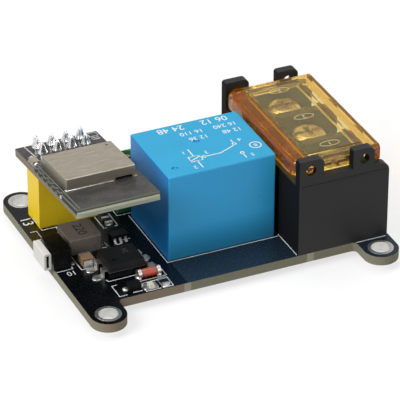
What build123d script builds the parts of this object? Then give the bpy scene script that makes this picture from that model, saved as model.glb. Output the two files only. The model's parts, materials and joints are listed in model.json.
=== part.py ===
from build123d import *
import os
from math import cos, hypot, radians

# Smart relay module: a black circuit board with a mains relay, a covered barrier terminal block,
# a radio module plugged into a header socket, a two-pole low-voltage terminal and small parts.
# Millimetres. The origin is the centre of the four mounting holes on the board's underside.
# +X runs along the board towards the barrier terminals, +Y to the edge with the green terminal, +Z up.

# Shared fits
overrun = 1.0            # how far a cutting solid passes the face that it opens
seat_gap = 0.02          # play left where one piece seats on or in another
pin_tail = 1.3           # reach of soldered pins below the board
drill_play = 0.15        # drilled radius over the pin's half diagonal
solder_height = 0.9
solder_rim = 0.55        # how far a solder cone spreads past its pin on the board
solder_lip = 0.12        # solder left round the pin at the cone's tip

# Main board: as long as its row of parts and as wide as the barrier terminals
board_thickness = 1.6
small_parts_zone = 17.96     # board left of the relay
relay_terminal_gap = 0.75
terminal_edge_inset = 0.29
terminal_back_inset = 1.3
ear_radius = 3.0
ear_offset = 3.1             # hole centres outside the board's edge
ear_root_radius = 0.8
mount_hole_radius = 1.6
plating_wall = 0.12
pad_radius = 2.15
pad_thickness = 0.05

# Relay cover and base
relay_length = 19.1
relay_width = 15.5
relay_height = 15.6
relay_wall = 0.7
relay_roof = 0.9
relay_corner_radius = 0.3
relay_top_radius = 0.25
relay_inner_radius = 0.3
base_recess = 0.3
base_thickness = 1.5
dimple_radius = 0.55
dimple_depth = 0.25
nub_x_share = -0.38      # moulding marks on the cover's top, as shares of its length and width
nub_y_share = -0.34
mark_x_share = -0.025
mark_y_share = 0.08

# Relay works
relay_pin_width = 0.6
pin_row_inset = 1.75     # outer pins' centres from the relay's sides
contact_inset = 2.85     # fixed contacts' centres from the relay's right end
common_pin_inset = 2.05  # common pin's centre from the relay's left end
coil_pin_setback = 2.0
yoke_thickness = 1.2
yoke_pin_gap = 1.2
yoke_inset = 1.1         # yoke's back from the cover's outer end
core_share = 0.425       # core and head radius, as shares of the winding's
core_head_share = 0.64
core_head_thickness = 0.45
bobbin_bore_gap = 0.3
bobbin_wall = 0.6
bobbin_flange = 0.8
bobbin_side_gap = 0.35
bobbin_blade_gap = 2.05
coil_length = 6.2
coil_flange_step = 0.74  # flange past the winding
air_gap = 0.4            # open gap between core head and armature
armature_thickness = 1.0
armature_overlap = 0.6   # armature past the core head
spring_thickness = 0.2
spring_width = 3.4
spring_past_contact = 1.0
contact_radius = 0.9
contact_head = 0.5
contact_gap = 0.6
contact_touch = 0.03
blade_thickness = 0.5
blade_width = 2.0
blade_foot_width = 1.0
arm_thickness = 0.3
button_height = 0.33

# Barrier terminal block
pole_count = 3
pole_pitch = 9.5
terminal_depth = 16.2
barrier_wall = 1.5
notch_height = 14.1      # floor of the gap between the ears, over the board
ear_height = 17.5        # ears' tops, over the board
shoulder_height = 13.9
shoulder_radius = 1.5
ear_reach_left = 4.35     # left ear's end from the block's left face
ear_start_right = 9.6
ear_end_right = 13.45
ear_top_radius = 0.95
ear_tip_radius = 0.45
hinge_inset = 2.05       # hinge hole from the block's left face
hinge_height = 15.6
hinge_hole_spacing = 9.6
hinge_hole_radius = 0.87
foot_chamfer = 0.4
side_wall = 1.5
floor_height = 8.2       # seat of the conductors, over the board
conductor_thickness = 1.2
conductor_width = 6.8
conductor_end_gap = 1.0
conductor_pin_x = 3.9
conductor_pin_length = 1.0
conductor_pin_width = 0.8
terminal_screw_x = 8.9
thread_radius = 1.45
thread_play = 0.05
screw_bore_radius = 1.9
screw_reach = 5.4        # shank below the conductor's top
screw_tip_gap = 0.7
screw_head_radius = 2.9
screw_head_height = 2.2
screw_head_dome = 0.9
slot_width = 0.8
slot_depth = 0.8
clamp_size = 6.4
clamp_thickness = 1.2
clamp_hole_gap = 0.3
clamp_corner = 0.9
barrier_step_gap = 0.6

# Barrier terminals' hinged cover
cover_left_reach = 2.25  # from the hinge axis to the cover's left face
cover_width = 15.65
cover_top_over_hinge = 0.9
cover_roof = 1.0
cover_wall = 0.9
cover_skirt = 2.6
cover_end_gap = 0.15
cover_corner_radius = 2.0
cover_rim_radius = 0.85
cover_far_radius = 0.4
cover_pin_radius = 0.8
cover_pin_point = 0.3
cover_pin_inset = 0.25   # pin's end face inside the ear's outer face
cover_swing_gap = 0.2
window_left = 2.98       # raised window from the cover's left face
window_length = 9.9
window_end_inset = 1.85
window_rise = 0.18
window_chamfer = 0.12
rib_thickness = 0.7
rib_drop = 0.6          # rib below the roof's underside

# Header socket
pin_pitch = 2.54
socket_columns = 4
socket_rows = 2
socket_left_inset = 7.775   # socket's centre from the board's left edge
socket_back_inset = 3.8
socket_margin = 0.1
socket_height = 9.4
socket_foot_height = 0.4
socket_foot_size = 1.5
cavity_length = 1.3
cavity_width = 1.9
cavity_floor = 0.9
leaf_thickness = 0.2
leaf_width = 1.0
leaf_top_inset = 1.4
leaf_play = 0.05
contact_tail = 0.5

# Radio module: header, carrier board and radio board
header_pin_width = 0.64
header_strip_height = 2.5
header_strip_width = 5.0
header_pin_reach = 6.0
header_pin_point = 0.15
carrier_tilt = 5.73      # degrees: the soldered carrier stands up towards its free end
carrier_width = 14.35
carrier_length = 26.4
carrier_thickness = 1.3
carrier_shift = -0.115   # carrier's middle from the socket's, along X
carrier_back_reach = 2.07
carrier_gap = 0.06
carrier_hole_radius = 0.58
header_peak = 1.55       # solder peaks over the carrier's back edge
peak_base_radius = 0.85
peak_tip_radius = 0.42
radio_width = 14.1
radio_length = 18.2
radio_thickness = 1.0
radio_offset_x = -0.5
radio_back = 9.6         # from the carrier's back edge
castellation_count = 6
castellation_pitch = 2.0
castellation_radius = 0.4
castellation_first = 1.4
can_length = 10.3
can_width = 12.0
can_height = 2.0
can_wall = 0.2
can_back = 1.0           # from the radio board's back edge
can_radius = 0.25
can_vent_radius = 0.25
can_vent_inset = 1.2
feed_gap_length = 3.0
feed_gap_height = 0.5
feed_gap_inset = 0.6
radio_chip_size = 6.0
radio_chip_height = 0.9
carrier_chip_length = 2.2
carrier_chip_width = 1.15
carrier_chip_height = 0.7
carrier_chip_x = 6.4     # from the carrier's middle towards its left side
carrier_chip_back = 6.6

# Green low-voltage terminal
input_count = 2
input_pitch = 5.08
input_relay_step = 1.71  # terminal's left end past the relay's
input_width = 10.16
input_relay_gap = 1.4
input_depth = 7.6
input_height = 9.0
input_top_depth = 4.6
input_face_height = 6.3
input_screw_inset = 2.6
input_screw_bore = 2.0
input_head_radius = 1.85
input_head_height = 1.5
input_head_recess = 0.4
input_head_chamfer = 0.3
input_thread_radius = 1.2
input_shank_play = 0.2
input_slot_width = 0.6
input_slot_depth = 0.8
cage_width = 4.0
cage_length = 3.0
cage_side = 0.45
cage_floor = 0.6
cage_roof = 0.8
cage_height = 4.0
cage_lift = 1.8
cage_play = 0.1
cage_base = 0.75         # cage's lowered underside, over the board
bar_thickness = 0.6
bar_width = 2.9
bar_reach = 3.4
bar_pin = 0.7
entry_width = 3.6
entry_height = 2.5

# Side-pressed reset switch. An inset gives a centre's distances from the board's left and front edges.
switch_length = 3.1
switch_width = 5.35
switch_height = 3.4
switch_inset = (1.4, 14.68)
switch_wall = 0.5
plunger_radius = 0.7
plunger_play = 0.08
plunger_reach = 1.35
button_travel = 0.25
button_gap = 0.3
button_depth = 1.2
button_width = 4.8
button_tall = 3.0
button_base = 0.25
button_pocket_depth = 0.5
button_pocket_wall = 0.35
button_radius = 0.15
dome_radius = 1.1
dome_thickness = 0.1
dome_gap = 0.05
leg_thickness = 0.2
leg_width = 0.7
leg_reach = 0.6
leg_spacing = 3.6

# Power inductor
inductor_size = 5.8
inductor_height = 2.85
inductor_inset = (6.8, 17.95)
inductor_corner = 0.35
inductor_top_radius = 0.2
inductor_foot = 0.3
inductor_foot_width = 2.2
inductor_foot_length = 1.4

# Four-lead coupler
coupler_length = 6.4
coupler_width = 5.6
coupler_height = 2.5
coupler_base = 0.15
coupler_inset = (10.15, 8.45)
coupler_taper = 0.25
coupler_mark_radius = 0.5
coupler_mark_depth = 0.12
lead_pitch = 2.54
lead_width = 1.2
lead_thickness = 0.25
lead_level = 1.25        # height at which the leads leave the body
lead_run = 0.75
lead_foot = 1.3

# Regulator with six gull-wing leads
regulator_length = 2.9
regulator_width = 1.6
regulator_height = 1.0
regulator_base = 0.1
regulator_inset = (13.25, 17.05)
regulator_lead_pitch = 0.95
regulator_lead_width = 0.4
regulator_lead_thickness = 0.15
regulator_lead_reach = 0.6

# Glass diode, signal diode, light and chips
glass_radius = 0.68
glass_length = 2.7
glass_cap_radius = 0.78
glass_cap_length = 0.6
glass_inset = (13.25, 4.55)
chip_end = 0.5
chip_lip = 0.03          # end caps stand this far over the chip's body
led_lens_height = 0.35
led_lens_inset = 0.08
led_lens_radius = 0.1
led_size = (2.0, 1.25, 0.45)
led_inset = (12.2, 1.25)
signal_diode_size = (2.1, 1.5, 1.0)
signal_diode_inset = (9.65, 2.3)
signal_diode_lead = (0.5, 0.9, 0.15)
resistor_size = (1.25, 2.0, 0.5)
resistor_insets = [(14.65, 1.55), (13.55, 22.45)]
capacitor_size = (2.0, 2.9, 1.3)
capacitor_insets = [(5.6, 12.1)]

# Heights and places that follow from the sizes above
board_top = board_thickness
board_z = (0, board_thickness)
block_length = pole_count * pole_pitch + barrier_wall
board_length = small_parts_zone + relay_length + relay_terminal_gap + terminal_depth + terminal_edge_inset
board_width = block_length + terminal_back_inset
board_left = -board_length / 2
board_front = -board_width / 2
board_back = board_width / 2
hole_x = board_length / 2 - ear_radius
hole_y = board_width / 2 + ear_offset
block_front = board_front
block_back = block_front + block_length
power_row_y = (block_front + block_back) / 2
relay_left = board_left + small_parts_zone
relay_right = relay_left + relay_length
relay_x = (relay_left + relay_right) / 2
terminal_left = relay_right + relay_terminal_gap
relay_top = board_top + relay_height
relay_floor = board_top + base_recess + base_thickness
common_pin_x = relay_left + common_pin_inset
contact_x = relay_right - contact_inset
contact_pitch_y = relay_width - 2 * pin_row_inset
yoke_left = relay_left + yoke_inset
bobbin_x = (yoke_left + yoke_thickness + seat_gap, contact_x - blade_width / 2 - bobbin_blade_gap)
bobbin_width = relay_width - 2 * (relay_wall + bobbin_side_gap)
coil_x = (bobbin_x[0] + bobbin_x[1]) / 2
coil_radius = (bobbin_x[1] - bobbin_x[0]) / 2 - coil_flange_step
core_radius = core_share * coil_radius
core_head_radius = core_head_share * coil_radius
yoke_width = contact_pitch_y - relay_pin_width - 2 * yoke_pin_gap
foot_z = (relay_floor + seat_gap, relay_floor + seat_gap + yoke_thickness)
lower_flange_z = (foot_z[1] + seat_gap, foot_z[1] + seat_gap + bobbin_flange)
coil_z = (lower_flange_z[1] + seat_gap, lower_flange_z[1] + seat_gap + coil_length)
upper_flange_z = (coil_z[1] + seat_gap, coil_z[1] + seat_gap + bobbin_flange)
head_z = (upper_flange_z[1] + seat_gap, upper_flange_z[1] + seat_gap + core_head_thickness)
yoke_top = head_z[1] + air_gap
armature_z = (yoke_top + seat_gap, yoke_top + seat_gap + armature_thickness)
spring_z = (armature_z[1], armature_z[1] + spring_thickness)
moving_z = (spring_z[0] - contact_head, spring_z[1] + contact_head)
closing_top = moving_z[0] - contact_gap
resting_base = moving_z[1] + contact_touch

terminal_right = terminal_left + terminal_depth
pole_y = [block_front + barrier_wall / 2 + pole_pitch * (i + 1 / 2) for i in range(pole_count)]
terminal_floor = board_top + floor_height
conductor_top = terminal_floor + conductor_thickness
screw_x = terminal_left + terminal_screw_x
clamp_z = (conductor_top + seat_gap, conductor_top + seat_gap + clamp_thickness)
head_base = clamp_z[1] + seat_gap
hinge_x = terminal_left + hinge_inset
hinge_z = board_top + hinge_height
cover_left = hinge_x - cover_left_reach
cover_right = cover_left + cover_width
cover_top = hinge_z + cover_top_over_hinge
cover_base = cover_top - cover_skirt
cover_y = (block_front + barrier_wall + cover_end_gap, block_back - barrier_wall - cover_end_gap)
swing_reach = hypot(cover_left_reach, hinge_z - cover_base)
side_wall_top = hinge_z - swing_reach - cover_swing_gap
barrier_step_x = hinge_x + swing_reach + barrier_step_gap

socket_x = board_left + socket_left_inset
socket_y = board_back - socket_back_inset
carrier_x = socket_x + carrier_shift
carrier_back_y = socket_y + carrier_back_reach
socket_top = board_top + socket_height
strip_z = (socket_top + seat_gap, socket_top + seat_gap + header_strip_height)
carrier_back_z = strip_z[1] + carrier_gap
peak_top = carrier_back_z + carrier_thickness + header_peak
radio_z = (carrier_thickness, carrier_thickness + radio_thickness)

input_left = relay_left - input_relay_step
input_front_y = power_row_y + relay_width / 2 + input_relay_gap
input_back_y = input_front_y + input_depth
input_screw_y = input_front_y + input_screw_inset
input_top = board_top + input_height
input_x = [input_left + input_width / 2 + input_pitch * (i - (input_count - 1) / 2)
           for i in range(input_count)]
cage_z = (board_top + cage_base, board_top + cage_base + cage_height)
bar_z = (cage_z[1] - cage_roof - cage_play - bar_thickness, cage_z[1] - cage_roof - cage_play)
input_head_z = (input_top - input_head_recess - input_head_height, input_top - input_head_recess)

switch_x, switch_y = board_left + switch_inset[0], board_front + switch_inset[1]
inductor_x, inductor_y = board_left + inductor_inset[0], board_front + inductor_inset[1]
coupler_x, coupler_y = board_left + coupler_inset[0], board_front + coupler_inset[1]
regulator_x, regulator_y = board_left + regulator_inset[0], board_front + regulator_inset[1]
glass_x, glass_y = board_left + glass_inset[0], board_front + glass_inset[1]
led_place = (board_left + led_inset[0], board_front + led_inset[1])
signal_diode_place = (board_left + signal_diode_inset[0], board_front + signal_diode_inset[1])
resistor_places = [(board_left + x, board_front + y) for x, y in resistor_insets]
capacitor_places = [(board_left + x, board_front + y) for x, y in capacitor_insets]


def around(middle, width):
    """Low and high ends of a width centred on a place."""
    return (middle - width / 2, middle + width / 2)


def block(x, y, z):
    """Box given by its ends along X, Y and Z."""
    middle = Pos((x[0] + x[1]) / 2, (y[0] + y[1]) / 2, (z[0] + z[1]) / 2)
    return middle * Box(x[1] - x[0], y[1] - y[0], z[1] - z[0])


def column(x, y, z, radius):
    """Upright round bar between two heights."""
    return Pos(x, y, (z[0] + z[1]) / 2) * Cylinder(radius, z[1] - z[0])


def bar_along_x(x, y, z, radius):
    """Round bar lying along X between two places."""
    return Pos((x[0] + x[1]) / 2, y, z) * Rot(0, 90, 0) * Cylinder(radius, x[1] - x[0])


def bar_along_y(x, y, z, radius):
    """Round bar lying along Y between two places."""
    return Pos(x, (y[0] + y[1]) / 2, z) * Rot(90, 0, 0) * Cylinder(radius, y[1] - y[0])


def carried_along_y(points, y):
    """Outline drawn in X and Z and carried along Y between two places."""
    outline = Polyline([(px, y[0], pz) for px, pz in points], close=True)
    return extrude(make_face(outline), amount=y[1] - y[0], dir=Axis.Y.direction)


def carried_along_x(points, x):
    """Outline drawn in Y and Z and carried along X between two places."""
    outline = Polyline([(x[0], py, pz) for py, pz in points], close=True)
    return extrude(make_face(outline), amount=x[1] - x[0], dir=Axis.X.direction)


def edges_near(shape, axis, places):
    """The edges along an axis that lie nearest to each of the places."""
    along = shape.edges().filter_by(axis)
    return [along.sort_by_distance(place)[0] for place in places]


def group(solids):
    """Separate solids that share one node."""
    return Compound([solid for shape in solids for solid in shape.solids()])


def relay_coil_pin_places():
    x = common_pin_x + coil_pin_setback
    return [(x, power_row_y + side * contact_pitch_y / 2) for side in (-1, 1)]


def relay_contact_places():
    return [(contact_x, power_row_y + side * contact_pitch_y / 2) for side in (-1, 1)]


def socket_places():
    columns = [socket_x + pin_pitch * (i - (socket_columns - 1) / 2) for i in range(socket_columns)]
    rows = [socket_y + pin_pitch * (i - (socket_rows - 1) / 2) for i in range(socket_rows)]
    return [(x, y) for y in rows for x in columns]


def soldered_pins():
    """Every pin through the board: its place and its section along X and Y."""
    pins = [(x, y, relay_pin_width, relay_pin_width) for x, y in relay_coil_pin_places()]
    pins += [(common_pin_x, power_row_y, relay_pin_width, blade_foot_width)]
    pins += [(x, y, blade_foot_width, blade_thickness) for x, y in relay_contact_places()]
    pin_x = terminal_left + conductor_pin_x
    pins += [(pin_x, y, conductor_pin_length, conductor_pin_width) for y in pole_y]
    pins += [(x, y, contact_tail, contact_tail) for x, y in socket_places()]
    pins += [(x, input_pin_y(), bar_pin, bar_thickness) for x in input_x]
    return pins


def input_pin_y():
    """Middle of the bar's leg, in front of the cage."""
    return input_screw_y - cage_length / 2 - cage_play - bar_thickness / 2


def ear(x_side, y_side):
    """Rounded mounting ear at one corner of the board."""
    x = x_side * hole_x
    y = y_side * hole_y
    root = y_side * (board_width / 2 - ear_radius)
    return column(x, y, board_z, ear_radius) + block(around(x, 2 * ear_radius), sorted((root, y)), board_z)


def mount_places():
    return [(x_side * hole_x, y_side * hole_y) for x_side in (-1, 1) for y_side in (-1, 1)]


def main_board():
    """Board with four ears, their plated holes and the drillings for soldered pins."""
    board = block(around(0, board_length), around(0, board_width), board_z)
    for x_side in (-1, 1):
        for y_side in (-1, 1):
            board += ear(x_side, y_side)
    root_x = hole_x - ear_radius
    roots = [(sx * root_x, sy * board_width / 2, board_top / 2) for sx in (-1, 1) for sy in (-1, 1)]
    board = fillet(edges_near(board, Axis.Z, roots), ear_root_radius)
    through = (-overrun, board_top + overrun)
    for x, y in mount_places():
        board -= column(x, y, through, mount_hole_radius + plating_wall + seat_gap)
    for x, y, length, width in soldered_pins():
        board -= column(x, y, through, hypot(length, width) / 2 + drill_play)
    return board


def mounting_hole_plating():
    """Tinned barrel and pads of each mounting hole."""
    rings = []
    for x, y in mount_places():
        ring = column(x, y, board_z, mount_hole_radius + plating_wall)
        ring += column(x, y, (-pad_thickness, 0), pad_radius)
        ring += column(x, y, (board_top, board_top + pad_thickness), pad_radius)
        rings.append(ring - column(x, y, (-overrun, board_top + overrun), mount_hole_radius))
    return group(rings)


def solder_joint(x, y, length, width):
    """Cone of solder under the board round one pin."""
    half_diagonal = hypot(length, width) / 2
    cone = Cone(half_diagonal + solder_lip, half_diagonal + solder_rim, solder_height)
    hole = block(around(x, length), around(y, width), (-solder_height - overrun, overrun))
    return Pos(x, y, -solder_height / 2) * cone - hole


def solder_joints():
    return group([solder_joint(*pin) for pin in soldered_pins()])


def relay_cover():
    """Blue sugar-cube cover, open below, with two shallow moulding marks on top."""
    x = around(relay_x, relay_length)
    y = around(power_row_y, relay_width)
    shell = block(x, y, (board_top, relay_top))
    shell = fillet(shell.edges().filter_by(Axis.Z), relay_corner_radius)
    shell = fillet(shell.faces().sort_by(Axis.Z)[-1].edges(), relay_top_radius)
    inner_x = around(relay_x, relay_length - 2 * relay_wall)
    inner_y = around(power_row_y, relay_width - 2 * relay_wall)
    inside = block(inner_x, inner_y, (board_top - overrun, relay_top - relay_roof))
    shell -= fillet(inside.edges().filter_by(Axis.Z), relay_inner_radius)
    marks = [(nub_x_share, nub_y_share), (mark_x_share, mark_y_share)]
    for x_share, y_share in marks:
        x_place = relay_x + x_share * relay_length
        y_place = power_row_y + y_share * relay_width
        shell -= column(x_place, y_place, (relay_top - dimple_depth, relay_top + overrun), dimple_radius)
    return shell


def relay_base():
    """Base plate inside the cover's mouth, with a slot for each pin."""
    play = relay_wall + 2 * seat_gap
    x = around(relay_x, relay_length - 2 * play)
    y = around(power_row_y, relay_width - 2 * play)
    plate = block(x, y, (board_top + base_recess, relay_floor))
    plate = fillet(plate.edges().filter_by(Axis.Z), relay_inner_radius)
    slots = [(px, py, relay_pin_width, relay_pin_width) for px, py in relay_coil_pin_places()]
    slots += [(common_pin_x, power_row_y, relay_pin_width, blade_foot_width)]
    slots += [(px, py, blade_foot_width, blade_thickness) for px, py in relay_contact_places()]
    for px, py, length, width in slots:
        slot_x = around(px, length + 2 * seat_gap)
        slot_y = around(py, width + 2 * seat_gap)
        plate -= block(slot_x, slot_y, (0, relay_floor + overrun))
    return plate


def relay_coil_pins():
    top = lower_flange_z[1] + bobbin_flange
    return group([block(around(x, relay_pin_width), around(y, relay_pin_width), (-pin_tail, top))
                  for x, y in relay_coil_pin_places()])


def relay_common_pin():
    return block(around(common_pin_x, relay_pin_width), around(power_row_y, blade_foot_width),
                 (-pin_tail, relay_floor))


def relay_yoke():
    """Iron angle: a foot under the coil and a leg up to the armature's hinge."""
    y = around(power_row_y, yoke_width)
    foot = block((yoke_left, coil_x + core_head_radius), y, foot_z)
    return foot + block((yoke_left, yoke_left + yoke_thickness), y, (foot_z[0], yoke_top))


def relay_core():
    shank = column(coil_x, power_row_y, (foot_z[1], head_z[0]), core_radius)
    return shank + column(coil_x, power_row_y, head_z, core_head_radius)


def relay_bobbin():
    """Spool with square flanges, drilled for the core and the coil pins."""
    y = around(power_row_y, bobbin_width)
    spool = block(bobbin_x, y, lower_flange_z) + block(bobbin_x, y, upper_flange_z)
    bore = core_radius + bobbin_bore_gap
    spool += column(coil_x, power_row_y, (lower_flange_z[0], upper_flange_z[1]), bore + bobbin_wall)
    spool -= column(coil_x, power_row_y, (lower_flange_z[0] - overrun, upper_flange_z[1] + overrun), bore)
    for px, py in relay_coil_pin_places():
        hole = relay_pin_width + 2 * seat_gap
        spool -= block(around(px, hole), around(py, hole), (lower_flange_z[0] - overrun, coil_z[0]))
    return spool


def relay_coil():
    inner = core_radius + bobbin_bore_gap + bobbin_wall + seat_gap
    winding = column(coil_x, power_row_y, coil_z, coil_radius)
    return winding - column(coil_x, power_row_y, (coil_z[0] - overrun, coil_z[1] + overrun), inner)


def relay_armature():
    x = (yoke_left, coil_x + core_head_radius + armature_overlap)
    return block(x, around(power_row_y, yoke_width), armature_z)


def relay_contact_spring():
    """Spring strip on the armature that carries the moving contact."""
    x = (yoke_left, contact_x + spring_past_contact)
    strip = block(x, around(power_row_y, spring_width), spring_z)
    shank = contact_radius / 2 + seat_gap
    return strip - column(contact_x, power_row_y, (spring_z[0] - overrun, spring_z[1] + overrun), shank)


def relay_moving_contact():
    """Double-headed rivet through the end of the spring strip."""
    rivet = column(contact_x, power_row_y, moving_z, contact_radius / 2)
    rivet += column(contact_x, power_row_y, (moving_z[0], spring_z[0]), contact_radius)
    return rivet + column(contact_x, power_row_y, (spring_z[1], moving_z[1]), contact_radius)


def fixed_contact(place, side):
    """Blade from the board up to an arm that carries a contact button under or over the moving one."""
    x, y = place
    arm_z = (closing_top - button_height - arm_thickness, closing_top - button_height)
    button_z = (arm_z[1], closing_top)
    if side > 0:
        arm_z = (resting_base + button_height, resting_base + button_height + arm_thickness)
        button_z = (resting_base, arm_z[0])
    blade_y = around(y, blade_thickness)
    blade = block(around(x, blade_foot_width), blade_y, (-pin_tail, relay_floor))
    blade += block(around(x, blade_width), blade_y, (relay_floor, arm_z[1]))
    arm_y = sorted((y, power_row_y - side * contact_radius))
    blade += block(around(x, blade_width), arm_y, arm_z)
    return blade + column(x, power_row_y, button_z, contact_radius)


def relay_fixed_contacts():
    return group([fixed_contact(place, side) for place, side in zip(relay_contact_places(), (-1, 1))])


def end_plate(y):
    """End wall of the terminal block with its two hinge ears and rounded shoulder."""
    notch = board_top + notch_height
    top = board_top + ear_height
    shoulder = board_top + shoulder_height
    left_ear = terminal_left + ear_reach_left
    right_ear = (terminal_left + ear_start_right, terminal_left + ear_end_right)
    plate = carried_along_y([
        (terminal_left, board_top), (terminal_left, top), (left_ear, top), (left_ear, notch),
        (right_ear[0], notch), (right_ear[0], top), (right_ear[1], top), (right_ear[1], notch),
        (terminal_right, shoulder), (terminal_right, board_top)], y)
    middle = (y[0] + y[1]) / 2
    rounded = [(left_ear, middle, top), (right_ear[1], middle, top)]
    plate = fillet(edges_near(plate, Axis.Y, rounded), ear_top_radius)
    sharper = [(terminal_left, middle, top), (right_ear[0], middle, top)]
    plate = fillet(edges_near(plate, Axis.Y, sharper), ear_tip_radius)
    plate = fillet(edges_near(plate, Axis.Y, [(terminal_right, middle, shoulder)]), shoulder_radius)
    for x in (hinge_x, hinge_x + hinge_hole_spacing):
        plate -= bar_along_y(x, (y[0] - overrun, y[1] + overrun), hinge_z, hinge_hole_radius)
    return plate


def barrier(y):
    """Wall between two poles, low where the cover swings and rounded at the wire side."""
    shoulder = board_top + shoulder_height
    wall = carried_along_y([
        (terminal_left, board_top), (terminal_left, side_wall_top), (barrier_step_x, side_wall_top),
        (barrier_step_x, shoulder), (terminal_right, shoulder), (terminal_right, board_top)], y)
    corner = [(terminal_right, (y[0] + y[1]) / 2, shoulder)]
    return fillet(edges_near(wall, Axis.Y, corner), shoulder_radius)


def terminal_housing():
    """Black block with end plates, barriers, a closed left wall and poles open to the right."""
    y = (block_front, block_back)
    housing = block((terminal_left, terminal_right), y, (board_top, terminal_floor))
    housing += block((terminal_left, terminal_left + side_wall), y, (board_top, side_wall_top))
    housing += end_plate((block_front, block_front + barrier_wall))
    housing += end_plate((block_back - barrier_wall, block_back))
    for i in range(1, pole_count):
        housing += barrier(around(block_front + barrier_wall / 2 + pole_pitch * i, barrier_wall))
    foot_edge = [(terminal_right, power_row_y, board_top)]
    housing = chamfer(edges_near(housing, Axis.Y, foot_edge), foot_chamfer)
    slot_x = around(terminal_left + conductor_pin_x, conductor_pin_length + 2 * seat_gap)
    bore_z = (conductor_top - screw_reach - screw_tip_gap, terminal_floor + overrun)
    for y_pole in pole_y:
        slot_y = around(y_pole, conductor_pin_width + 2 * seat_gap)
        housing -= block(slot_x, slot_y, (0, terminal_floor + overrun))
        housing -= column(screw_x, y_pole, bore_z, screw_bore_radius)
    return housing


def terminal_conductors():
    """Threaded plate and soldered leg of each pole."""
    plates = []
    x = (terminal_left + side_wall + seat_gap, terminal_right - conductor_end_gap)
    pin_x = around(terminal_left + conductor_pin_x, conductor_pin_length)
    for y in pole_y:
        plate = block(x, around(y, conductor_width), (terminal_floor, conductor_top))
        plate += block(pin_x, around(y, conductor_pin_width), (-pin_tail, terminal_floor))
        through = (terminal_floor - overrun, conductor_top + overrun)
        plates.append(plate - column(screw_x, y, through, thread_radius + thread_play))
    return group(plates)


def clamp_plate(y):
    """Square pressure plate under a terminal screw's head."""
    plate = block(around(screw_x, clamp_size), around(y, clamp_size), clamp_z)
    plate = chamfer(plate.edges().filter_by(Axis.Z), clamp_corner)
    through = (clamp_z[0] - overrun, clamp_z[1] + overrun)
    return plate - column(screw_x, y, through, thread_radius + clamp_hole_gap)


def terminal_screw(y):
    """Pan-head screw with a crossed slot."""
    head_z = (head_base, head_base + screw_head_height)
    head = column(screw_x, y, head_z, screw_head_radius)
    head = fillet(head.edges().sort_by(Axis.Z)[-1], screw_head_dome)
    slot_z = (head_z[1] - slot_depth, head_z[1] + overrun)
    head -= block(around(screw_x, 2 * screw_head_radius), around(y, slot_width), slot_z)
    head -= block(around(screw_x, slot_width), around(y, screw_head_radius), slot_z)
    return head + column(screw_x, y, (conductor_top - screw_reach, head_base), thread_radius)


def terminal_cover():
    """Amber hinged cover: a rounded tray with a raised window and two hinge pins."""
    tray = block((cover_left, cover_right), cover_y, (cover_base, cover_top))
    corners = [(cover_left, y, (cover_base + cover_top) / 2) for y in cover_y]
    tray = fillet(edges_near(tray, Axis.Z, corners), cover_corner_radius)
    far_edge = edges_near(tray, Axis.Y, [(cover_right, power_row_y, cover_top)])
    rim = [e for e in tray.faces().sort_by(Axis.Z)[-1].edges()
           if e.center().X < far_edge[0].center().X - overrun]
    tray = fillet(rim, cover_rim_radius)
    tray = fillet(edges_near(tray, Axis.Y, [(cover_right, power_row_y, cover_top)]), cover_far_radius)
    inner_x = (cover_left + cover_wall, cover_right - cover_wall)
    inner_y = (cover_y[0] + cover_wall, cover_y[1] - cover_wall)
    inside = block(inner_x, inner_y, (cover_base - overrun, cover_top - cover_roof))
    inner_corners = [(inner_x[0], y, (cover_base + cover_top) / 2) for y in inner_y]
    tray -= fillet(edges_near(inside, Axis.Z, inner_corners), cover_corner_radius - cover_wall)
    window_x = (cover_left + window_left, cover_left + window_left + window_length)
    window_y = (cover_y[0] + window_end_inset, cover_y[1] - window_end_inset)
    window = block(window_x, window_y, (cover_top - cover_roof / 2, cover_top + window_rise))
    tray += chamfer(window.faces().sort_by(Axis.Z)[-1].edges(), window_chamfer)
    rib_z = (cover_top - cover_roof - rib_drop, cover_top - cover_roof / 2)
    inner_window = (window_x[0] + rib_thickness, window_x[1] - rib_thickness)
    inner_end = (window_y[0] + rib_thickness, window_y[1] - rib_thickness)
    rib = block(window_x, window_y, rib_z)
    tray += rib - block(inner_window, inner_end, (rib_z[0] - overrun, cover_top - cover_roof))
    for side, wall_y, ear_face in ((-1, cover_y[0], block_front), (1, cover_y[1], block_back)):
        pin_y = sorted((wall_y - side * cover_wall / 2, ear_face - side * cover_pin_inset))
        pin = bar_along_y(hinge_x, pin_y, hinge_z, cover_pin_radius)
        end = pin.edges().sort_by(Axis.Y)[-1 if side > 0 else 0]
        tray += chamfer(end, cover_pin_point)
    return tray


def socket_housing():
    """Yellow socket body on two feet, with a cavity and tail hole for each contact."""
    x = around(socket_x, socket_columns * pin_pitch + 2 * socket_margin)
    y = around(socket_y, socket_rows * pin_pitch)
    body = block(x, y, (board_top, socket_top))
    under_z = (board_top - overrun, board_top + socket_foot_height)
    body -= block((x[0] - overrun, x[1] + overrun),
                  (y[0] + socket_foot_size, y[1] - socket_foot_size), under_z)
    for px, py in socket_places():
        cavity_z = (board_top + cavity_floor, socket_top + overrun)
        body -= block(around(px, cavity_length), around(py, cavity_width), cavity_z)
        tail = contact_tail + 2 * seat_gap
        body -= block(around(px, tail), around(py, tail), (0, socket_top))
    return body


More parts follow.
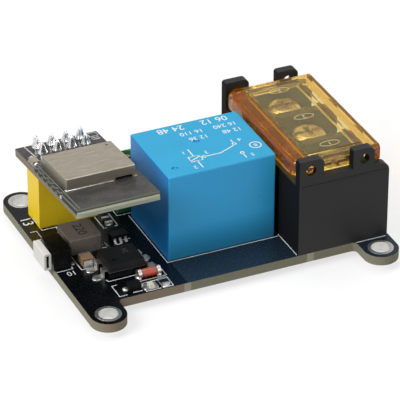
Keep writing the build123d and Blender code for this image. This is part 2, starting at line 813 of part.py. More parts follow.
def socket_contact(x, y):
    """Spring contact: two leaves that grip a pin, joined at the foot, and a soldered tail."""
    base = board_top + cavity_floor
    leaf_z = (base, socket_top - leaf_top_inset)
    inner = header_pin_width / 2 + leaf_play
    outer = inner + leaf_thickness
    contact = block((x - outer, x + outer), around(y, leaf_width), (base, base + leaf_thickness))
    contact += block((x - outer, x - inner), around(y, leaf_width), leaf_z)
    contact += block((x + inner, x + outer), around(y, leaf_width), leaf_z)
    return contact + block(around(x, contact_tail), around(y, contact_tail), (-pin_tail, base))


def socket_contacts():
    return group([socket_contact(x, y) for x, y in socket_places()])


def header_strip():
    """Black spacer strip that holds the module's pins."""
    x = around(socket_x, socket_columns * pin_pitch)
    strip = block(x, around(socket_y, header_strip_width), strip_z)
    for px, py in socket_places():
        pin = (around(px, header_pin_width), around(py, header_pin_width))
        strip -= block(pin[0], pin[1], (strip_z[0] - overrun, strip_z[1] + overrun))
    return strip


def header_pin(x, y):
    pin = block(around(x, header_pin_width), around(y, header_pin_width),
                (strip_z[0] - header_pin_reach, peak_top))
    return chamfer(pin.faces().sort_by(Axis.Z)[0].edges(), header_pin_point)


def header_pins():
    return group([header_pin(x, y) for x, y in socket_places()])


def on_carrier(shape):
    """Places a shape drawn flat, with the carrier's back lower edge at its origin, on the tilted carrier."""
    return Pos(carrier_x, carrier_back_y, carrier_back_z) * Rot(-carrier_tilt, 0, 0) * shape


def carrier_slab(z):
    return on_carrier(block(around(0, carrier_width), (-carrier_length, 0), z))


def carrier_board():
    """Module's carrier board with a hole for each header pin."""
    board = carrier_slab((0, carrier_thickness))
    for x, y in socket_places():
        board -= column(x, y, (strip_z[1] - overrun, peak_top + overrun), carrier_hole_radius)
    return board


def header_solder():
    """Solder peaks round the header pins on the carrier."""
    base = carrier_back_z + carrier_thickness * cos(radians(carrier_tilt))
    below = carrier_slab((-overrun, carrier_thickness))
    peaks = []
    for x, y in socket_places():
        cone = Cone(peak_base_radius, peak_tip_radius, peak_top - base)
        peak = Pos(x, y, (base + peak_top) / 2) * cone
        pin = block(around(x, header_pin_width), around(y, header_pin_width),
                    (base - overrun, peak_top + overrun))
        peaks.append(peak - below - pin)
    return group(peaks)


def castellation_places():
    """Places of the edge contacts from the radio board's middle and the carrier's back edge."""
    ys = [-radio_back - castellation_first - castellation_pitch * i for i in range(castellation_count)]
    return [(radio_offset_x + side * radio_width / 2, y) for side in (-1, 1) for y in ys]


def radio_board():
    """Small radio board with half-round edge contacts on both long sides."""
    board = block(around(radio_offset_x, radio_width), (-radio_back - radio_length, -radio_back), radio_z)
    for x, y in castellation_places():
        board -= column(x, y, (radio_z[0] - overrun, radio_z[1] + overrun), castellation_radius)
    return on_carrier(board)


def radio_edge_solder():
    """Solder that fills the edge contacts of the radio board."""
    fills = []
    middle = block(around(radio_offset_x, radio_width), (-radio_back - radio_length, -radio_back), radio_z)
    for x, y in castellation_places():
        fill = column(x, y, (radio_z[0], radio_z[0] + radio_thickness / 2), castellation_radius - seat_gap)
        fills.append(on_carrier(fill & middle))
    return group(fills)


def can_box(wall):
    """Outline of the shield can, or of its inside when a wall is given."""
    x = around(radio_offset_x, can_width - 2 * wall)
    y_front = -radio_back - can_back - can_length
    y = (y_front + wall, y_front + can_length - wall)
    return x, y


def radio_shield():
    """Pressed metal can with a vent hole and a gap for the antenna feed."""
    x, y = can_box(0)
    can = block(x, y, (radio_z[1], radio_z[1] + can_height))
    can = fillet(can.edges().filter_by(Axis.Z), can_radius)
    can = fillet(can.faces().sort_by(Axis.Z)[-1].edges(), can_radius / 2)
    inner_x, inner_y = can_box(can_wall)
    can -= block(inner_x, inner_y, (radio_z[1] - overrun, radio_z[1] + can_height - can_wall))
    vent_x = x[1] - can_vent_inset
    vent_y = y[1] - can_vent_inset
    can -= column(vent_x, vent_y, (radio_z[1], radio_z[1] + can_height + overrun), can_vent_radius)
    gap_x = (x[1] - feed_gap_inset - feed_gap_length, x[1] - feed_gap_inset)
    can -= block(gap_x, (y[0] - overrun, y[0] + overrun), (radio_z[1], radio_z[1] + feed_gap_height))
    return on_carrier(can)


def radio_chip():
    x, y = can_box(0)
    middle_y = (y[0] + y[1]) / 2
    chip_z = (radio_z[1], radio_z[1] + radio_chip_height)
    return on_carrier(block(around(radio_offset_x, radio_chip_size),
                            around(middle_y, radio_chip_size), chip_z))


def carrier_capacitor():
    """Chip capacitor on the carrier beside the header."""
    z = (carrier_thickness, carrier_thickness + carrier_chip_height)
    y = around(-carrier_chip_back, carrier_chip_length)
    body = block(around(-carrier_chip_x, carrier_chip_width), y, z)
    return on_carrier(body)


def input_housing():
    """Green two-pole terminal body with screw wells, cage chambers and wire entries."""
    x = around(input_left + input_width / 2, input_width)
    face_top = board_top + input_face_height
    body = carried_along_x([
        (input_front_y, board_top), (input_front_y, input_top), (input_front_y + input_top_depth, input_top),
        (input_back_y, face_top), (input_back_y, board_top)], x)
    chamber_z = (cage_z[0] - cage_play, cage_z[1] + cage_lift + cage_play)
    for px in input_x:
        chamber_y = around(input_screw_y, cage_length + 2 * cage_play)
        body -= block(around(px, cage_width + 2 * cage_play), chamber_y, chamber_z)
        body -= column(px, input_screw_y, (input_head_z[0], input_top + overrun), input_screw_bore)
        shank = input_thread_radius + input_shank_play
        body -= column(px, input_screw_y, (chamber_z[1] - overrun, input_head_z[0]), shank)
        entry_z = (cage_z[0] + cage_floor, cage_z[0] + cage_floor + entry_height)
        body -= block(around(px, entry_width), (input_screw_y, input_back_y + overrun), entry_z)
        bar_y = (input_pin_y() - bar_thickness / 2 - seat_gap, input_screw_y + bar_reach + seat_gap)
        bar_slot_z = (bar_z[0] - seat_gap, bar_z[1] + seat_gap)
        body -= block(around(px, bar_width + 2 * seat_gap), bar_y, bar_slot_z)
        leg_y = around(input_pin_y(), bar_thickness + 2 * seat_gap)
        body -= block(around(px, bar_pin + 2 * seat_gap), leg_y, (0, bar_z[0]))
    return body


def input_bars():
    """Fixed contact bar and soldered leg of each low-voltage pole."""
    bars = []
    for px in input_x:
        y = (input_pin_y() - bar_thickness / 2, input_screw_y + bar_reach)
        bar = block(around(px, bar_width), y, bar_z)
        leg_y = around(input_pin_y(), bar_thickness)
        bars.append(bar + block(around(px, bar_pin), leg_y, (-pin_tail, bar_z[0])))
    return group(bars)


def input_cage(px):
    """Rising wire cage, threaded on its screw."""
    y = around(input_screw_y, cage_length)
    cage = block(around(px, cage_width), y, cage_z)
    window_z = (cage_z[0] + cage_floor, cage_z[1] - cage_roof)
    window_y = (y[0] - overrun, y[1] + overrun)
    cage -= block(around(px, cage_width - 2 * cage_side), window_y, window_z)
    thread = input_thread_radius + thread_play
    return cage - column(px, input_screw_y, (window_z[1] - overrun, cage_z[1] + overrun), thread)


def input_screw(px):
    head = column(px, input_screw_y, input_head_z, input_head_radius)
    head = chamfer(head.edges().sort_by(Axis.Z)[-1], input_head_chamfer)
    slot_z = (input_head_z[1] - input_slot_depth, input_head_z[1] + overrun)
    head -= block(around(px, 2 * input_head_radius), around(input_screw_y, input_slot_width), slot_z)
    shank_z = (bar_z[1] + seat_gap, input_head_z[0])
    return head + column(px, input_screw_y, shank_z, input_thread_radius)


def switch_cavity_z():
    return (board_top + switch_wall, board_top + switch_height - switch_wall)


def plunger_height():
    return board_top + switch_height / 2


def reset_switch_body():
    """Switch body lying on its side, open to the left for the plunger."""
    x = around(switch_x, switch_length)
    y = around(switch_y, switch_width)
    body = block(x, y, (board_top, board_top + switch_height))
    inner_x = (x[0] + switch_wall, x[1] - switch_wall)
    body -= block(inner_x, (y[0] + switch_wall, y[1] - switch_wall), switch_cavity_z())
    mouth = (x[0] - overrun, x[0] + switch_wall + overrun)
    return body - bar_along_x(mouth, switch_y, plunger_height(), plunger_radius + plunger_play)


def plunger_end_x():
    return switch_x - switch_length / 2 + plunger_reach


def reset_button():
    """Button bar with a pocket in its front end and a round plunger into the switch."""
    face = switch_x - switch_length / 2 - button_gap
    x = (face - button_depth, face)
    y = around(switch_y, button_width)
    z = (board_top + button_base, board_top + button_base + button_tall)
    button = block(x, y, z)
    button = fillet(button.edges().filter_by(Axis.Y), button_radius)
    pocket_x = (x[0] + button_pocket_wall, x[1] - button_pocket_wall)
    pocket_z = (z[0] + button_pocket_wall, z[1] - button_pocket_wall)
    button -= block(pocket_x, (y[0] - overrun, y[0] + button_pocket_depth), pocket_z)
    plunger_x = (face - button_depth / 2, plunger_end_x())
    return button + bar_along_x(plunger_x, switch_y, plunger_height(), plunger_radius)


def reset_switch_dome():
    """Snap disc behind the plunger, standing clear by the button's travel."""
    start = plunger_end_x() + button_travel + dome_gap
    return bar_along_x((start, start + dome_thickness), switch_y, plunger_height(), dome_radius)


def reset_switch_legs():
    """Solder legs on the switch's far side."""
    right = switch_x + switch_length / 2
    legs = []
    for y in around(switch_y, leg_spacing):
        legs.append(block((right, right + leg_reach), around(y, leg_width),
                          (board_top, board_top + leg_thickness)))
    return group(legs)


def inductor_body():
    """Square moulded inductor with cut corners, hollow below for its terminals."""
    z = (board_top, board_top + inductor_height)
    body = block(around(inductor_x, inductor_size), around(inductor_y, inductor_size), z)
    body = chamfer(body.edges().filter_by(Axis.Z), inductor_corner)
    body = fillet(body.faces().sort_by(Axis.Z)[-1].edges(), inductor_top_radius)
    for side in (-1, 1):
        edge = inductor_y + side * inductor_size / 2
        y = sorted((edge + side * overrun, edge - side * (inductor_foot_length + seat_gap)))
        width = inductor_foot_width + 2 * seat_gap
        body -= block(around(inductor_x, width), y,
                      (board_top - overrun, board_top + inductor_foot + seat_gap))
    return body


def inductor_feet():
    """Two folded terminals under the inductor."""
    feet = []
    for side in (-1, 1):
        edge = inductor_y + side * inductor_size / 2
        y = sorted((edge, edge - side * inductor_foot_length))
        feet.append(block(around(inductor_x, inductor_foot_width), y, (board_top, board_top + inductor_foot)))
    return group(feet)


def coupler_body():
    """Flat four-lead package with drawn-in sides and a round mark."""
    length = coupler_length
    width = coupler_width
    base = board_top + coupler_base
    middle = base + coupler_height / 2
    top = base + coupler_height
    body = carried_along_y([
        (coupler_x - length / 2 + coupler_taper, base), (coupler_x - length / 2, middle),
        (coupler_x - length / 2 + coupler_taper, top), (coupler_x + length / 2 - coupler_taper, top),
        (coupler_x + length / 2, middle), (coupler_x + length / 2 - coupler_taper, base)],
        around(coupler_y, width))
    ends = carried_along_x([
        (coupler_y - width / 2 + coupler_taper, base), (coupler_y - width / 2, middle),
        (coupler_y - width / 2 + coupler_taper, top), (coupler_y + width / 2 - coupler_taper, top),
        (coupler_y + width / 2, middle), (coupler_y + width / 2 - coupler_taper, base)],
        around(coupler_x, length))
    body = body & ends
    mark_x = coupler_x - length / 2 + 3 * coupler_mark_radius
    mark_y = coupler_y - width / 2 + 3 * coupler_mark_radius
    body -= column(mark_x, mark_y, (top - coupler_mark_depth, top + overrun), coupler_mark_radius)
    for side in (-1, 1):
        for y in around(coupler_y, lead_pitch):
            edge = coupler_x + side * length / 2
            x = sorted((edge - side * (coupler_taper + seat_gap), edge + side * overrun))
            level = base + lead_level
            pocket_z = around(level, lead_thickness + 2 * seat_gap)
            body -= block(x, around(y, lead_width + 2 * seat_gap), pocket_z)
    return body


def coupler_lead(side, y):
    """Bent lead: out of the body, down to the board and out again to a foot."""
    edge = coupler_x + side * coupler_length / 2
    level = board_top + coupler_base + lead_level
    drop_x = edge + side * lead_run
    out = (edge - side * coupler_taper, drop_x)
    lead_y = around(y, lead_width)
    lead = block(sorted(out), lead_y, around(level, lead_thickness))
    lead += block(sorted((drop_x - side * lead_thickness, drop_x)), lead_y,
                  (board_top, level + lead_thickness / 2))
    foot_x = sorted((drop_x - side * lead_thickness, drop_x + side * lead_foot))
    return lead + block(foot_x, lead_y, (board_top, board_top + lead_thickness))


def coupler_leads():
    return group([coupler_lead(side, y) for side in (-1, 1) for y in around(coupler_y, lead_pitch)])


def regulator_body():
    z = (board_top + regulator_base, board_top + regulator_base + regulator_height)
    return block(around(regulator_x, regulator_length), around(regulator_y, regulator_width), z)


def regulator_leads():
    """Three gull-wing feet on each long side."""
    leads = []
    z = (board_top, board_top + regulator_lead_thickness)
    for side in (-1, 1):
        edge = regulator_y + side * regulator_width / 2
        for i in (-1, 0, 1):
            x = around(regulator_x + i * regulator_lead_pitch, regulator_lead_width)
            foot_y = sorted((edge, edge + side * regulator_lead_reach))
            lead = block(x, foot_y, z)
            riser_y = sorted((edge, edge + side * regulator_lead_thickness))
            leads.append(lead + block(x, riser_y,
                                      (board_top, board_top + regulator_base + regulator_height / 2)))
    return group(leads)


def glass_diode():
    z = board_top + glass_cap_radius
    return bar_along_x(around(glass_x, glass_length), glass_y, z, glass_radius)


def glass_diode_caps():
    """Plated end caps of the glass diode."""
    z = board_top + glass_cap_radius
    caps = []
    for side in (-1, 1):
        inner = glass_x + side * glass_length / 2
        caps.append(bar_along_x(sorted((inner, inner + side * glass_cap_length)),
                                glass_y, z, glass_cap_radius))
    return group(caps)


def chip(place, size):
    """Ceramic body of a chip part, between its end caps along the longer side."""
    x, y = place
    inset = 2 * chip_end
    length = size[0] - (inset if size[0] > size[1] else 0)
    width = size[1] - (0 if size[0] > size[1] else inset)
    return block(around(x, length), around(y, width), (board_top + chip_lip, board_top + size[2]))


def chip_caps(place, size):
    """Plated ends of a chip part."""
    x, y = place
    z = (board_top, board_top + size[2] + chip_lip)
    caps = []
    for side in (-1, 1):
        if size[0] > size[1]:
            edge = x + side * size[0] / 2
            caps.append(block(sorted((edge, edge - side * chip_end)), around(y, size[1] + 2 * chip_lip), z))
        else:
            edge = y + side * size[1] / 2
            caps.append(block(around(x, size[0] + 2 * chip_lip), sorted((edge, edge - side * chip_end)), z))
    return caps


def chip_end_caps():
    caps = []
    for place in resistor_places:
        caps += chip_caps(place, resistor_size)
    for place in capacitor_places:
        caps += chip_caps(place, capacitor_size)
    return group(caps + chip_caps(led_place, led_size))


def signal_diode():
    x, y = signal_diode_place
    length, width, height = signal_diode_size
    return block(around(x, length), around(y, width), (board_top, board_top + height))


def signal_diode_leads():
    length, width, thickness = signal_diode_lead
    leads = []
    for side in (-1, 1):
        edge = signal_diode_place[0] + side * signal_diode_size[0] / 2
        x = sorted((edge, edge + side * length))
        leads.append(block(x, around(signal_diode_place[1], width), (board_top, board_top + thickness)))
    return group(leads)


def led_lens():
    """Milky resin lens on the light's base."""
    x, y = led_place
    z = (board_top + led_size[2], board_top + led_size[2] + led_lens_height)
    size = (led_size[0] - 2 * chip_end - 2 * led_lens_inset, led_size[1] - 2 * led_lens_inset)
    lens = block(around(x, size[0]), around(y, size[1]), z)
    return fillet(lens.edges().filter_by(Axis.Z), led_lens_radius)


nodes = {
    "main_board": main_board(),
    "mounting_hole_plating": mounting_hole_plating(),
    "board_solder_joints": solder_joints(),
    "relay_cover": relay_cover(),
    "relay_base": relay_base(),
    "relay_coil_pins": relay_coil_pins(),
    "relay_common_pin": relay_common_pin(),
    "relay_yoke": relay_yoke(),
    "relay_core": relay_core(),
    "relay_bobbin": relay_bobbin(),
    "relay_coil": relay_coil(),
    "relay_armature": relay_armature(),
    "relay_contact_spring": relay_contact_spring(),
    "relay_moving_contact": relay_moving_contact(),
    "relay_fixed_contacts": relay_fixed_contacts(),
    "terminal_housing": terminal_housing(),
    "terminal_conductors": terminal_conductors(),
    "terminal_cover": terminal_cover(),
    "socket_housing": socket_housing(),
    "socket_contacts": socket_contacts(),
    "header_strip": header_strip(),
    "header_pins": header_pins(),
    "header_solder": header_solder(),
    "carrier_board": carrier_board(),
    "carrier_capacitor": carrier_capacitor(),
    "radio_board": radio_board(),
    "radio_edge_solder": radio_edge_solder(),
    "radio_shield": radio_shield(),
    "radio_chip": radio_chip(),
    "input_housing": input_housing(),
    "input_bars": input_bars(),
    "reset_switch_body": reset_switch_body(),
    "reset_button": reset_button(),
    "reset_switch_dome": reset_switch_dome(),
    "reset_switch_legs": reset_switch_legs(),
    "inductor_body": inductor_body(),
    "inductor_feet": inductor_feet(),
    "coupler_body": coupler_body(),
    "coupler_leads": coupler_leads(),
    "regulator_body": regulator_body(),
    "regulator_leads": regulator_leads(),
    "glass_diode": glass_diode(),
    "glass_diode_caps": glass_diode_caps(),
    "chip_resistors": group([chip(place, resistor_size) for place in resistor_places]),
    "chip_capacitor": group([chip(place, capacitor_size) for place in capacitor_places]),
    "chip_end_caps": chip_end_caps(),
    "light_base": chip(led_place, led_size),
    "light_lens": led_lens(),
    "signal_diode": signal_diode(),
    "signal_diode_leads": signal_diode_leads(),
}
for i, y in enumerate(pole_y):
    nodes[f"clamp_plate_{i + 1}"] = clamp_plate(y)
    nodes[f"terminal_screw_{i + 1}"] = terminal_screw(y)
for i, x in enumerate(input_x):
    nodes[f"input_cage_{i + 1}"] = input_cage(x)
    nodes[f"input_screw_{i + 1}"] = input_screw(x)

os.makedirs("parts", exist_ok=True)
for name, shape in nodes.items():
    export_step(shape, f"parts/{name}.step")
print(len(nodes), "nodes written")
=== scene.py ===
import bpy
import bmesh
import json
import math
from mathutils import Matrix, Vector


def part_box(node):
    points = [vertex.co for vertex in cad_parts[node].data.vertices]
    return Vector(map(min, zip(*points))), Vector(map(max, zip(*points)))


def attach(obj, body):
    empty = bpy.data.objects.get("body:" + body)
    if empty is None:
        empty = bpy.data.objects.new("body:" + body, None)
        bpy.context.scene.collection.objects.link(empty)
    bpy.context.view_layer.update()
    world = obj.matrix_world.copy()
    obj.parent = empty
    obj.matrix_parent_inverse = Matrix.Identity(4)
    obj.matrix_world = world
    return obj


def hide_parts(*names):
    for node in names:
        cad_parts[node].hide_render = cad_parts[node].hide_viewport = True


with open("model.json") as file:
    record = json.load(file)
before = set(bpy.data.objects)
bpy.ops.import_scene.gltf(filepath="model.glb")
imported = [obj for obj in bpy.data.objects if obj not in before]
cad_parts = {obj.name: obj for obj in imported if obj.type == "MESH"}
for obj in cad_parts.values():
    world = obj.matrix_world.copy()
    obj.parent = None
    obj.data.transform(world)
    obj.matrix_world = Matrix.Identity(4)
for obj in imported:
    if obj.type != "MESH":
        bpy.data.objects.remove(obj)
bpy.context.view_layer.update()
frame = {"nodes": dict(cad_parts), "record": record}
nodes = frame["nodes"]

# Sizes repeated from the part's source, in millimetres
mm = 0.001
board_top = 1.6
relay_top = 17.2
pin_x = (-23.185, -20.645, -18.105, -15.565)
pin_y = (10.58, 13.12)
carrier_edge = (-19.49, 13.92, 13.58)
carrier_tilt = 5.73
carrier_thickness = 1.3
radio_offset = -0.5
radio_back, radio_front = 9.6, 27.8
radio_top = 2.3
peak_top = 16.43
strip_bottom = 11.02
pin_reach = 6.0

slope = math.radians(carrier_tilt)

# Places on the main board's front edge where it was broken out of its panel, and the x past which its solder
# mask gets a painted sheen of reflected light, with painted shade and a browner front edge short of it
panel_tabs = (-9.0, 12.9)
tab_half_width = 0.6
painted_sheen_x = -9.0

# Window of the terminal cover, and the x short of which its left frame is painted darker as shade, seen from
# above
window_middle = (18.39, -0.65)
window_half = (4.95, 12.9)
painted_shade_edge = 13.35

# Share of a face's direction along an axis, past which the face counts as turned that way
turned_share = 0.7


def reach(name):
    """Lowest and highest corner of a node's box, in millimetres."""
    return [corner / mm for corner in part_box(name)]


# Sockets and nodes

class Signal:
    """A socket that takes part in plain sums, so that 1 - mask adds its Math node."""

    def __init__(self, nodes, socket):
        self.nodes, self.socket = nodes, socket

    def math(self, operation, *values):
        made = self.nodes.node("ShaderNodeMath", {"operation": operation}, dict(enumerate(values)))
        return made["Value"]

    def __add__(self, other):
        return self.math("ADD", self, other)

    def __radd__(self, other):
        return self.math("ADD", other, self)

    def __sub__(self, other):
        return self.math("SUBTRACT", self, other)

    def __rsub__(self, other):
        return self.math("SUBTRACT", other, self)

    def __mul__(self, other):
        return self.math("MULTIPLY", self, other)

    def __rmul__(self, other):
        return self.math("MULTIPLY", other, self)

    def __abs__(self):
        return self.math("ABSOLUTE", self)

    def __lt__(self, other):
        return self.math("LESS_THAN", self, other)

    def __gt__(self, other):
        return self.math("GREATER_THAN", self, other)

    def most(self, other):
        return self.math("MAXIMUM", self, other)

    def sine(self):
        return self.math("SINE", self)


class Made:
    """A node that is in its tree; its outputs are read by name or identifier."""

    def __init__(self, nodes, node):
        self.nodes, self.node = nodes, node

    def __getitem__(self, key):
        return Signal(self.nodes, find_socket(self.node.outputs, key))


def find_socket(sockets, key):
    if isinstance(key, int):
        return sockets[key]
    for socket in sockets:
        if socket.identifier == key:
            return socket
    return sockets[key]


class Nodes:
    """A node tree that is built one node at a time."""

    def __init__(self, tree):
        self.tree = tree

    def node(self, kind, settings=None, sockets=None):
        made = self.tree.nodes.new(kind)
        for name, value in (settings or {}).items():
            setattr(made, name, value)
        for key, value in (sockets or {}).items():
            socket = find_socket(made.inputs, key)
            if isinstance(value, Signal):
                self.tree.links.new(value.socket, socket)
            else:
                socket.default_value = value
        return Made(self, made)


def ink(red, green, blue):
    """Colour from the 0 to 255 values of a screen."""
    def plain(level):
        level /= 255
        return level / 12.92 if level < 0.04045 else ((level + 0.055) / 1.055) ** 2.4
    return (plain(red), plain(green), plain(blue), 1.0)


def shade(colour, factor):
    return tuple(min(1.0, c * factor) for c in colour[:3]) + (1.0,)


class Finish(Nodes):
    """One material round a Principled shader, with the tools that its patterns are made of."""

    def __init__(self, name):
        self.material = bpy.data.materials.new(name)
        self.material.use_nodes = True
        super().__init__(self.material.node_tree)
        self.tree.nodes.clear()
        where = self.node("ShaderNodeTexCoord")
        self.place = where["Object"]
        self.facing = where["Normal"]

    def parts(self, vector):
        made = self.node("ShaderNodeSeparateXYZ", None, {"Vector": vector})
        return made["X"], made["Y"], made["Z"]

    def wall(self):
        """1 where the surface stands upright or looks down."""
        return self.parts(self.facing)[2] < 0.5

    def left_face(self):
        return self.parts(self.facing)[0] < -turned_share

    def front_face(self):
        return self.parts(self.facing)[1] < -turned_share

    def tipped(self, tilt=0.0, stretch=(1, 1, 1)):
        """Object coordinates turned back from a tilt in degrees, and stretched."""
        sockets = {"Vector": self.place, "Rotation": (math.radians(tilt), 0, 0), "Scale": stretch}
        return self.node("ShaderNodeMapping", None, sockets)["Vector"]

    def cloud(self, size, detail=2.0, where=None, rough=0.5):
        """Soft noise from 0 to 1, with lumps of that size in metres."""
        sockets = {"Vector": where or self.place, "Scale": 1 / size, "Detail": detail, "Roughness": rough}
        return self.node("ShaderNodeTexNoise", None, sockets)["Fac"]

    def cells(self, size):
        """Distance to the nearest of scattered points, that far apart in metres."""
        sockets = {"Vector": self.place, "Scale": 1 / size}
        return self.node("ShaderNodeTexVoronoi", None, sockets)["Distance"]

    def between(self, value, low, high, start=0.0, end=1.0):
        """Carries a value from one range to another and stops at its ends."""
        sockets = {"Value": value, "From Min": low, "From Max": high, "To Min": start, "To Max": end}
        return self.node("ShaderNodeMapRange", None, sockets)["Result"]

    def mix(self, share, first, second):
        sockets = {"Factor_Float": share, "A_Color": first, "B_Color": second}
        return self.node("ShaderNodeMix", {"data_type": "RGBA"}, sockets)["Result_Color"]

    def mix_shaders(self, share, first, second):
        return self.node("ShaderNodeMixShader", None, {0: share, 1: first, 2: second})["Shader"]

    def softened(self, edge, samples=4):
        """Surface direction over edges softened by a radius in metres."""
        return self.node("ShaderNodeBevel", {"samples": samples}, {"Radius": edge})["Normal"]

    def bump(self, height, depth, edge=None):
        """Relief of a height signal, depth in metres, over edges softened by a radius in metres."""
        sockets = {"Height": height, "Distance": depth, "Strength": 1.0}
        if edge:
            sockets["Normal"] = self.softened(edge)
        return self.node("ShaderNodeBump", None, sockets)["Normal"]

    def principled(self, colour, rough, normal=None, **constants):
        sockets = {"Base Color": colour, "Roughness": rough}
        sockets.update({key.replace("_", " "): value for key, value in constants.items()})
        if normal is not None:
            sockets["Normal"] = normal
        return self.node("ShaderNodeBsdfPrincipled", None, sockets)["BSDF"]

    def surface(self, shader):
        self.node("ShaderNodeOutputMaterial", None, {"Surface": shader})
        return self.material

    def clear_body(self, shader, passing_tint, depth_colour, density):
        """Body that lets shadow rays through, tinted, and takes up colour with its thickness."""
        clear = self.node("ShaderNodeBsdfTransparent", None, {"Color": passing_tint})["BSDF"]
        shadow = self.node("ShaderNodeLightPath")["Is Shadow Ray"]
        sockets = {"Color": depth_colour, "Density": density}
        body = self.node("ShaderNodeVolumeAbsorption", None, sockets)["Volume"]
        whole = self.mix_shaders(shadow, shader, clear)
        self.node("ShaderNodeOutputMaterial", None, {"Surface": whole, "Volume": body})
        return self.material


# Finishes

def moulded(name, colour, rough=0.45, grain=0.12, relief=6.0, edge=0.08, vary=0.12, level=0.5,
            painted_wall_light=None, left=None, matt_painted_shade_left=False):
    """Moulded plastic: fine spark-eroded grain, faint flow shades and softened edges.

    grain and edge are in millimetres and relief in thousandths of one. walls is a tone painted on upright
    faces as light, which get painted shade towards their foot, and left a painted shade for the left faces.
    matt_painted_shade_left makes the left faces matt and painted darker as shade.
    """
    made = Finish(name)
    skin = made.cloud(grain * mm, 3)
    flow = made.cloud(6 * mm, 2)
    tone = made.mix(made.between(flow, 0.3, 0.7), shade(colour, 1 - vary), shade(colour, 1 + vary))
    tone = made.mix(made.between(skin, 0.35, 0.8, 0, 0.25), tone, shade(colour, 0.75))
    if painted_wall_light:
        # Painted light: upright faces take their own tone, with painted shade towards their foot.
        height = made.parts(made.place)[2]
        foot = made.between(height, board_top * mm, (board_top + 5.4) * mm, 0.6, 0)
        tone = made.mix(made.wall() * 0.7, tone, painted_wall_light)
        tone = made.mix(made.wall() * foot, tone, shade(painted_wall_light, 0.12))
    if left:
        # Painted shade on the left faces.
        tone = made.mix(made.left_face() * 0.75, tone, left)
    shine = made.between(skin + flow * 0.5, 0.4, 1.1, rough - 0.06, rough + 0.08)
    normal = made.bump(skin, relief * mm / 1000, edge * mm)
    shader = made.principled(tone, shine, normal, Specular_IOR_Level=level)
    if matt_painted_shade_left:
        # The left faces turn matt and painted darker as shade.
        matt = made.principled(shade(colour, 0.3), 0.9, normal, Specular_IOR_Level=0.05)
        shader = made.mix_shaders(made.left_face() * 0.8, shader, matt)
    return made.surface(shader)


def plated(name, colour, rough=0.25, relief=3.0, dull=0.15):
    """Plated or tinned metal with faint dull clouds and fine scratches, relief in thousandths of a mm."""
    made = Finish(name)
    scratch = made.cloud(0.2 * mm, 4, rough=0.7)
    haze = made.cloud(1.2 * mm, 3)
    tone = made.mix(made.between(haze, 0.35, 0.7), colour, shade(colour, 1 - dull))
    shine = made.between(haze + scratch * 0.6, 0.5, 1.1, rough - 0.05, rough + 0.15)
    normal = made.bump(scratch, relief * mm / 1000, 0.06 * mm)
    return made.surface(made.principled(tone, shine, normal, Metallic=1.0))


def masked_board(name, mask, weave, tilt=0.0, side=None, rim=None, tabs=(), painted_sheen_from=None):
    """Circuit board: dark glossy solder mask on both faces and bare glass cloth at every cut edge.

    side is a painted shade for the left and right edges, and rim the height of the pale line along the upper
    edge, under which a dark band is painted shadow.
    tabs are the broken tabs' places along the front edge, and pour the x past which the mask gets a painted
    sheen of reflected light; short of it the mask gets painted shade and the front edge is browner.
    """
    made = Finish(name)
    along = made.parts(made.place)[0]
    height = made.parts(made.tipped(tilt))[2]
    sockets = {"Vector": made.facing, "Rotation": (math.radians(tilt), 0, 0)}
    level = made.node("ShaderNodeMapping", {"vector_type": "VECTOR"}, sockets)
    cut = abs(made.parts(level["Vector"])[2]) < 0.6

    cloth = made.cloud(0.18 * mm, 2, made.tipped(tilt, (1, 1, 3.5)))
    fleck = made.cells(0.35 * mm)
    ply = made.between((height * (2 * math.pi / (0.2 * mm))).sine(), -1, 1)
    edge_tone = made.mix(made.between(cloth, 0.35, 0.75), weave, shade(weave, 0.62))
    edge_tone = made.mix(ply * 0.25, edge_tone, shade(weave, 0.7))
    edge_tone = made.mix(made.between(fleck, 0.0, 0.25, 0.35, 0), edge_tone, ink(235, 235, 215))
    # Painted shade on the left and right edges.
    if side:
        edge_tone = made.mix(abs(made.parts(made.facing)[0]) > 0.6, edge_tone, side)
    if painted_sheen_from:
        brown = (along < painted_sheen_from * mm) * made.front_face() * 0.55
        edge_tone = made.mix(brown, edge_tone, ink(150, 128, 110))
    for tab in tabs:
        broken = abs(along - tab * mm) < tab_half_width * mm
        edge_tone = made.mix(broken * 0.6, edge_tone, ink(188, 190, 168))
    if rim:
        # Painted shadow: a dark band under the pale line.
        shadow_line = (rim - 0.25) * mm
        edge_tone = made.mix((height > shadow_line) * 0.9, edge_tone, ink(46, 50, 42))
        edge_tone = made.mix((height > rim * mm) * 0.85, edge_tone, ink(128, 134, 114))

    islands = made.cloud(2.5 * mm, 2)
    mask_tone = made.mix(made.between(islands, 0.4, 0.62), mask, shade(mask, 1.7))
    # Painted sheen of reflected light on the mask past that x, and painted shade short of it.
    if painted_sheen_from:
        mask_tone = made.mix((along > painted_sheen_from * mm) * 0.6, mask_tone, ink(36, 50, 64))
        mask_tone = made.mix((along < painted_sheen_from * mm) * 0.5, mask_tone, ink(0, 0, 0))

    tone = made.mix(cut, mask_tone, edge_tone)
    shine = made.between(made.cloud(0.4 * mm, 3) + cut * 2, 0.3, 2.3, 0.22, 0.62)
    relief = made.between(islands, 0.46, 0.54) * 0.6 + cloth * (0.04 + cut * 1.3)
    normal = made.bump(relief, 0.008 * mm, 0.05 * mm)
    return made.surface(made.principled(tone, shine, normal, Specular_IOR_Level=0.32))


def see_through(name, tint, depth_colour, rough, ior, density, haze):
    """Clear plastic or glass, a little milky, that takes up colour with its thickness."""
    made = Finish(name)
    normal = made.bump(made.cloud(2.5 * mm, 2), 0.03 * mm, 0.12 * mm)
    shine = made.between(made.cloud(0.8 * mm, 2), 0.3, 0.7, rough, rough + 0.05)
    glass = made.principled(tint, shine, normal, Transmission_Weight=1.0 - haze, IOR=ior)
    return made.clear_body(glass, tint, depth_colour, density)


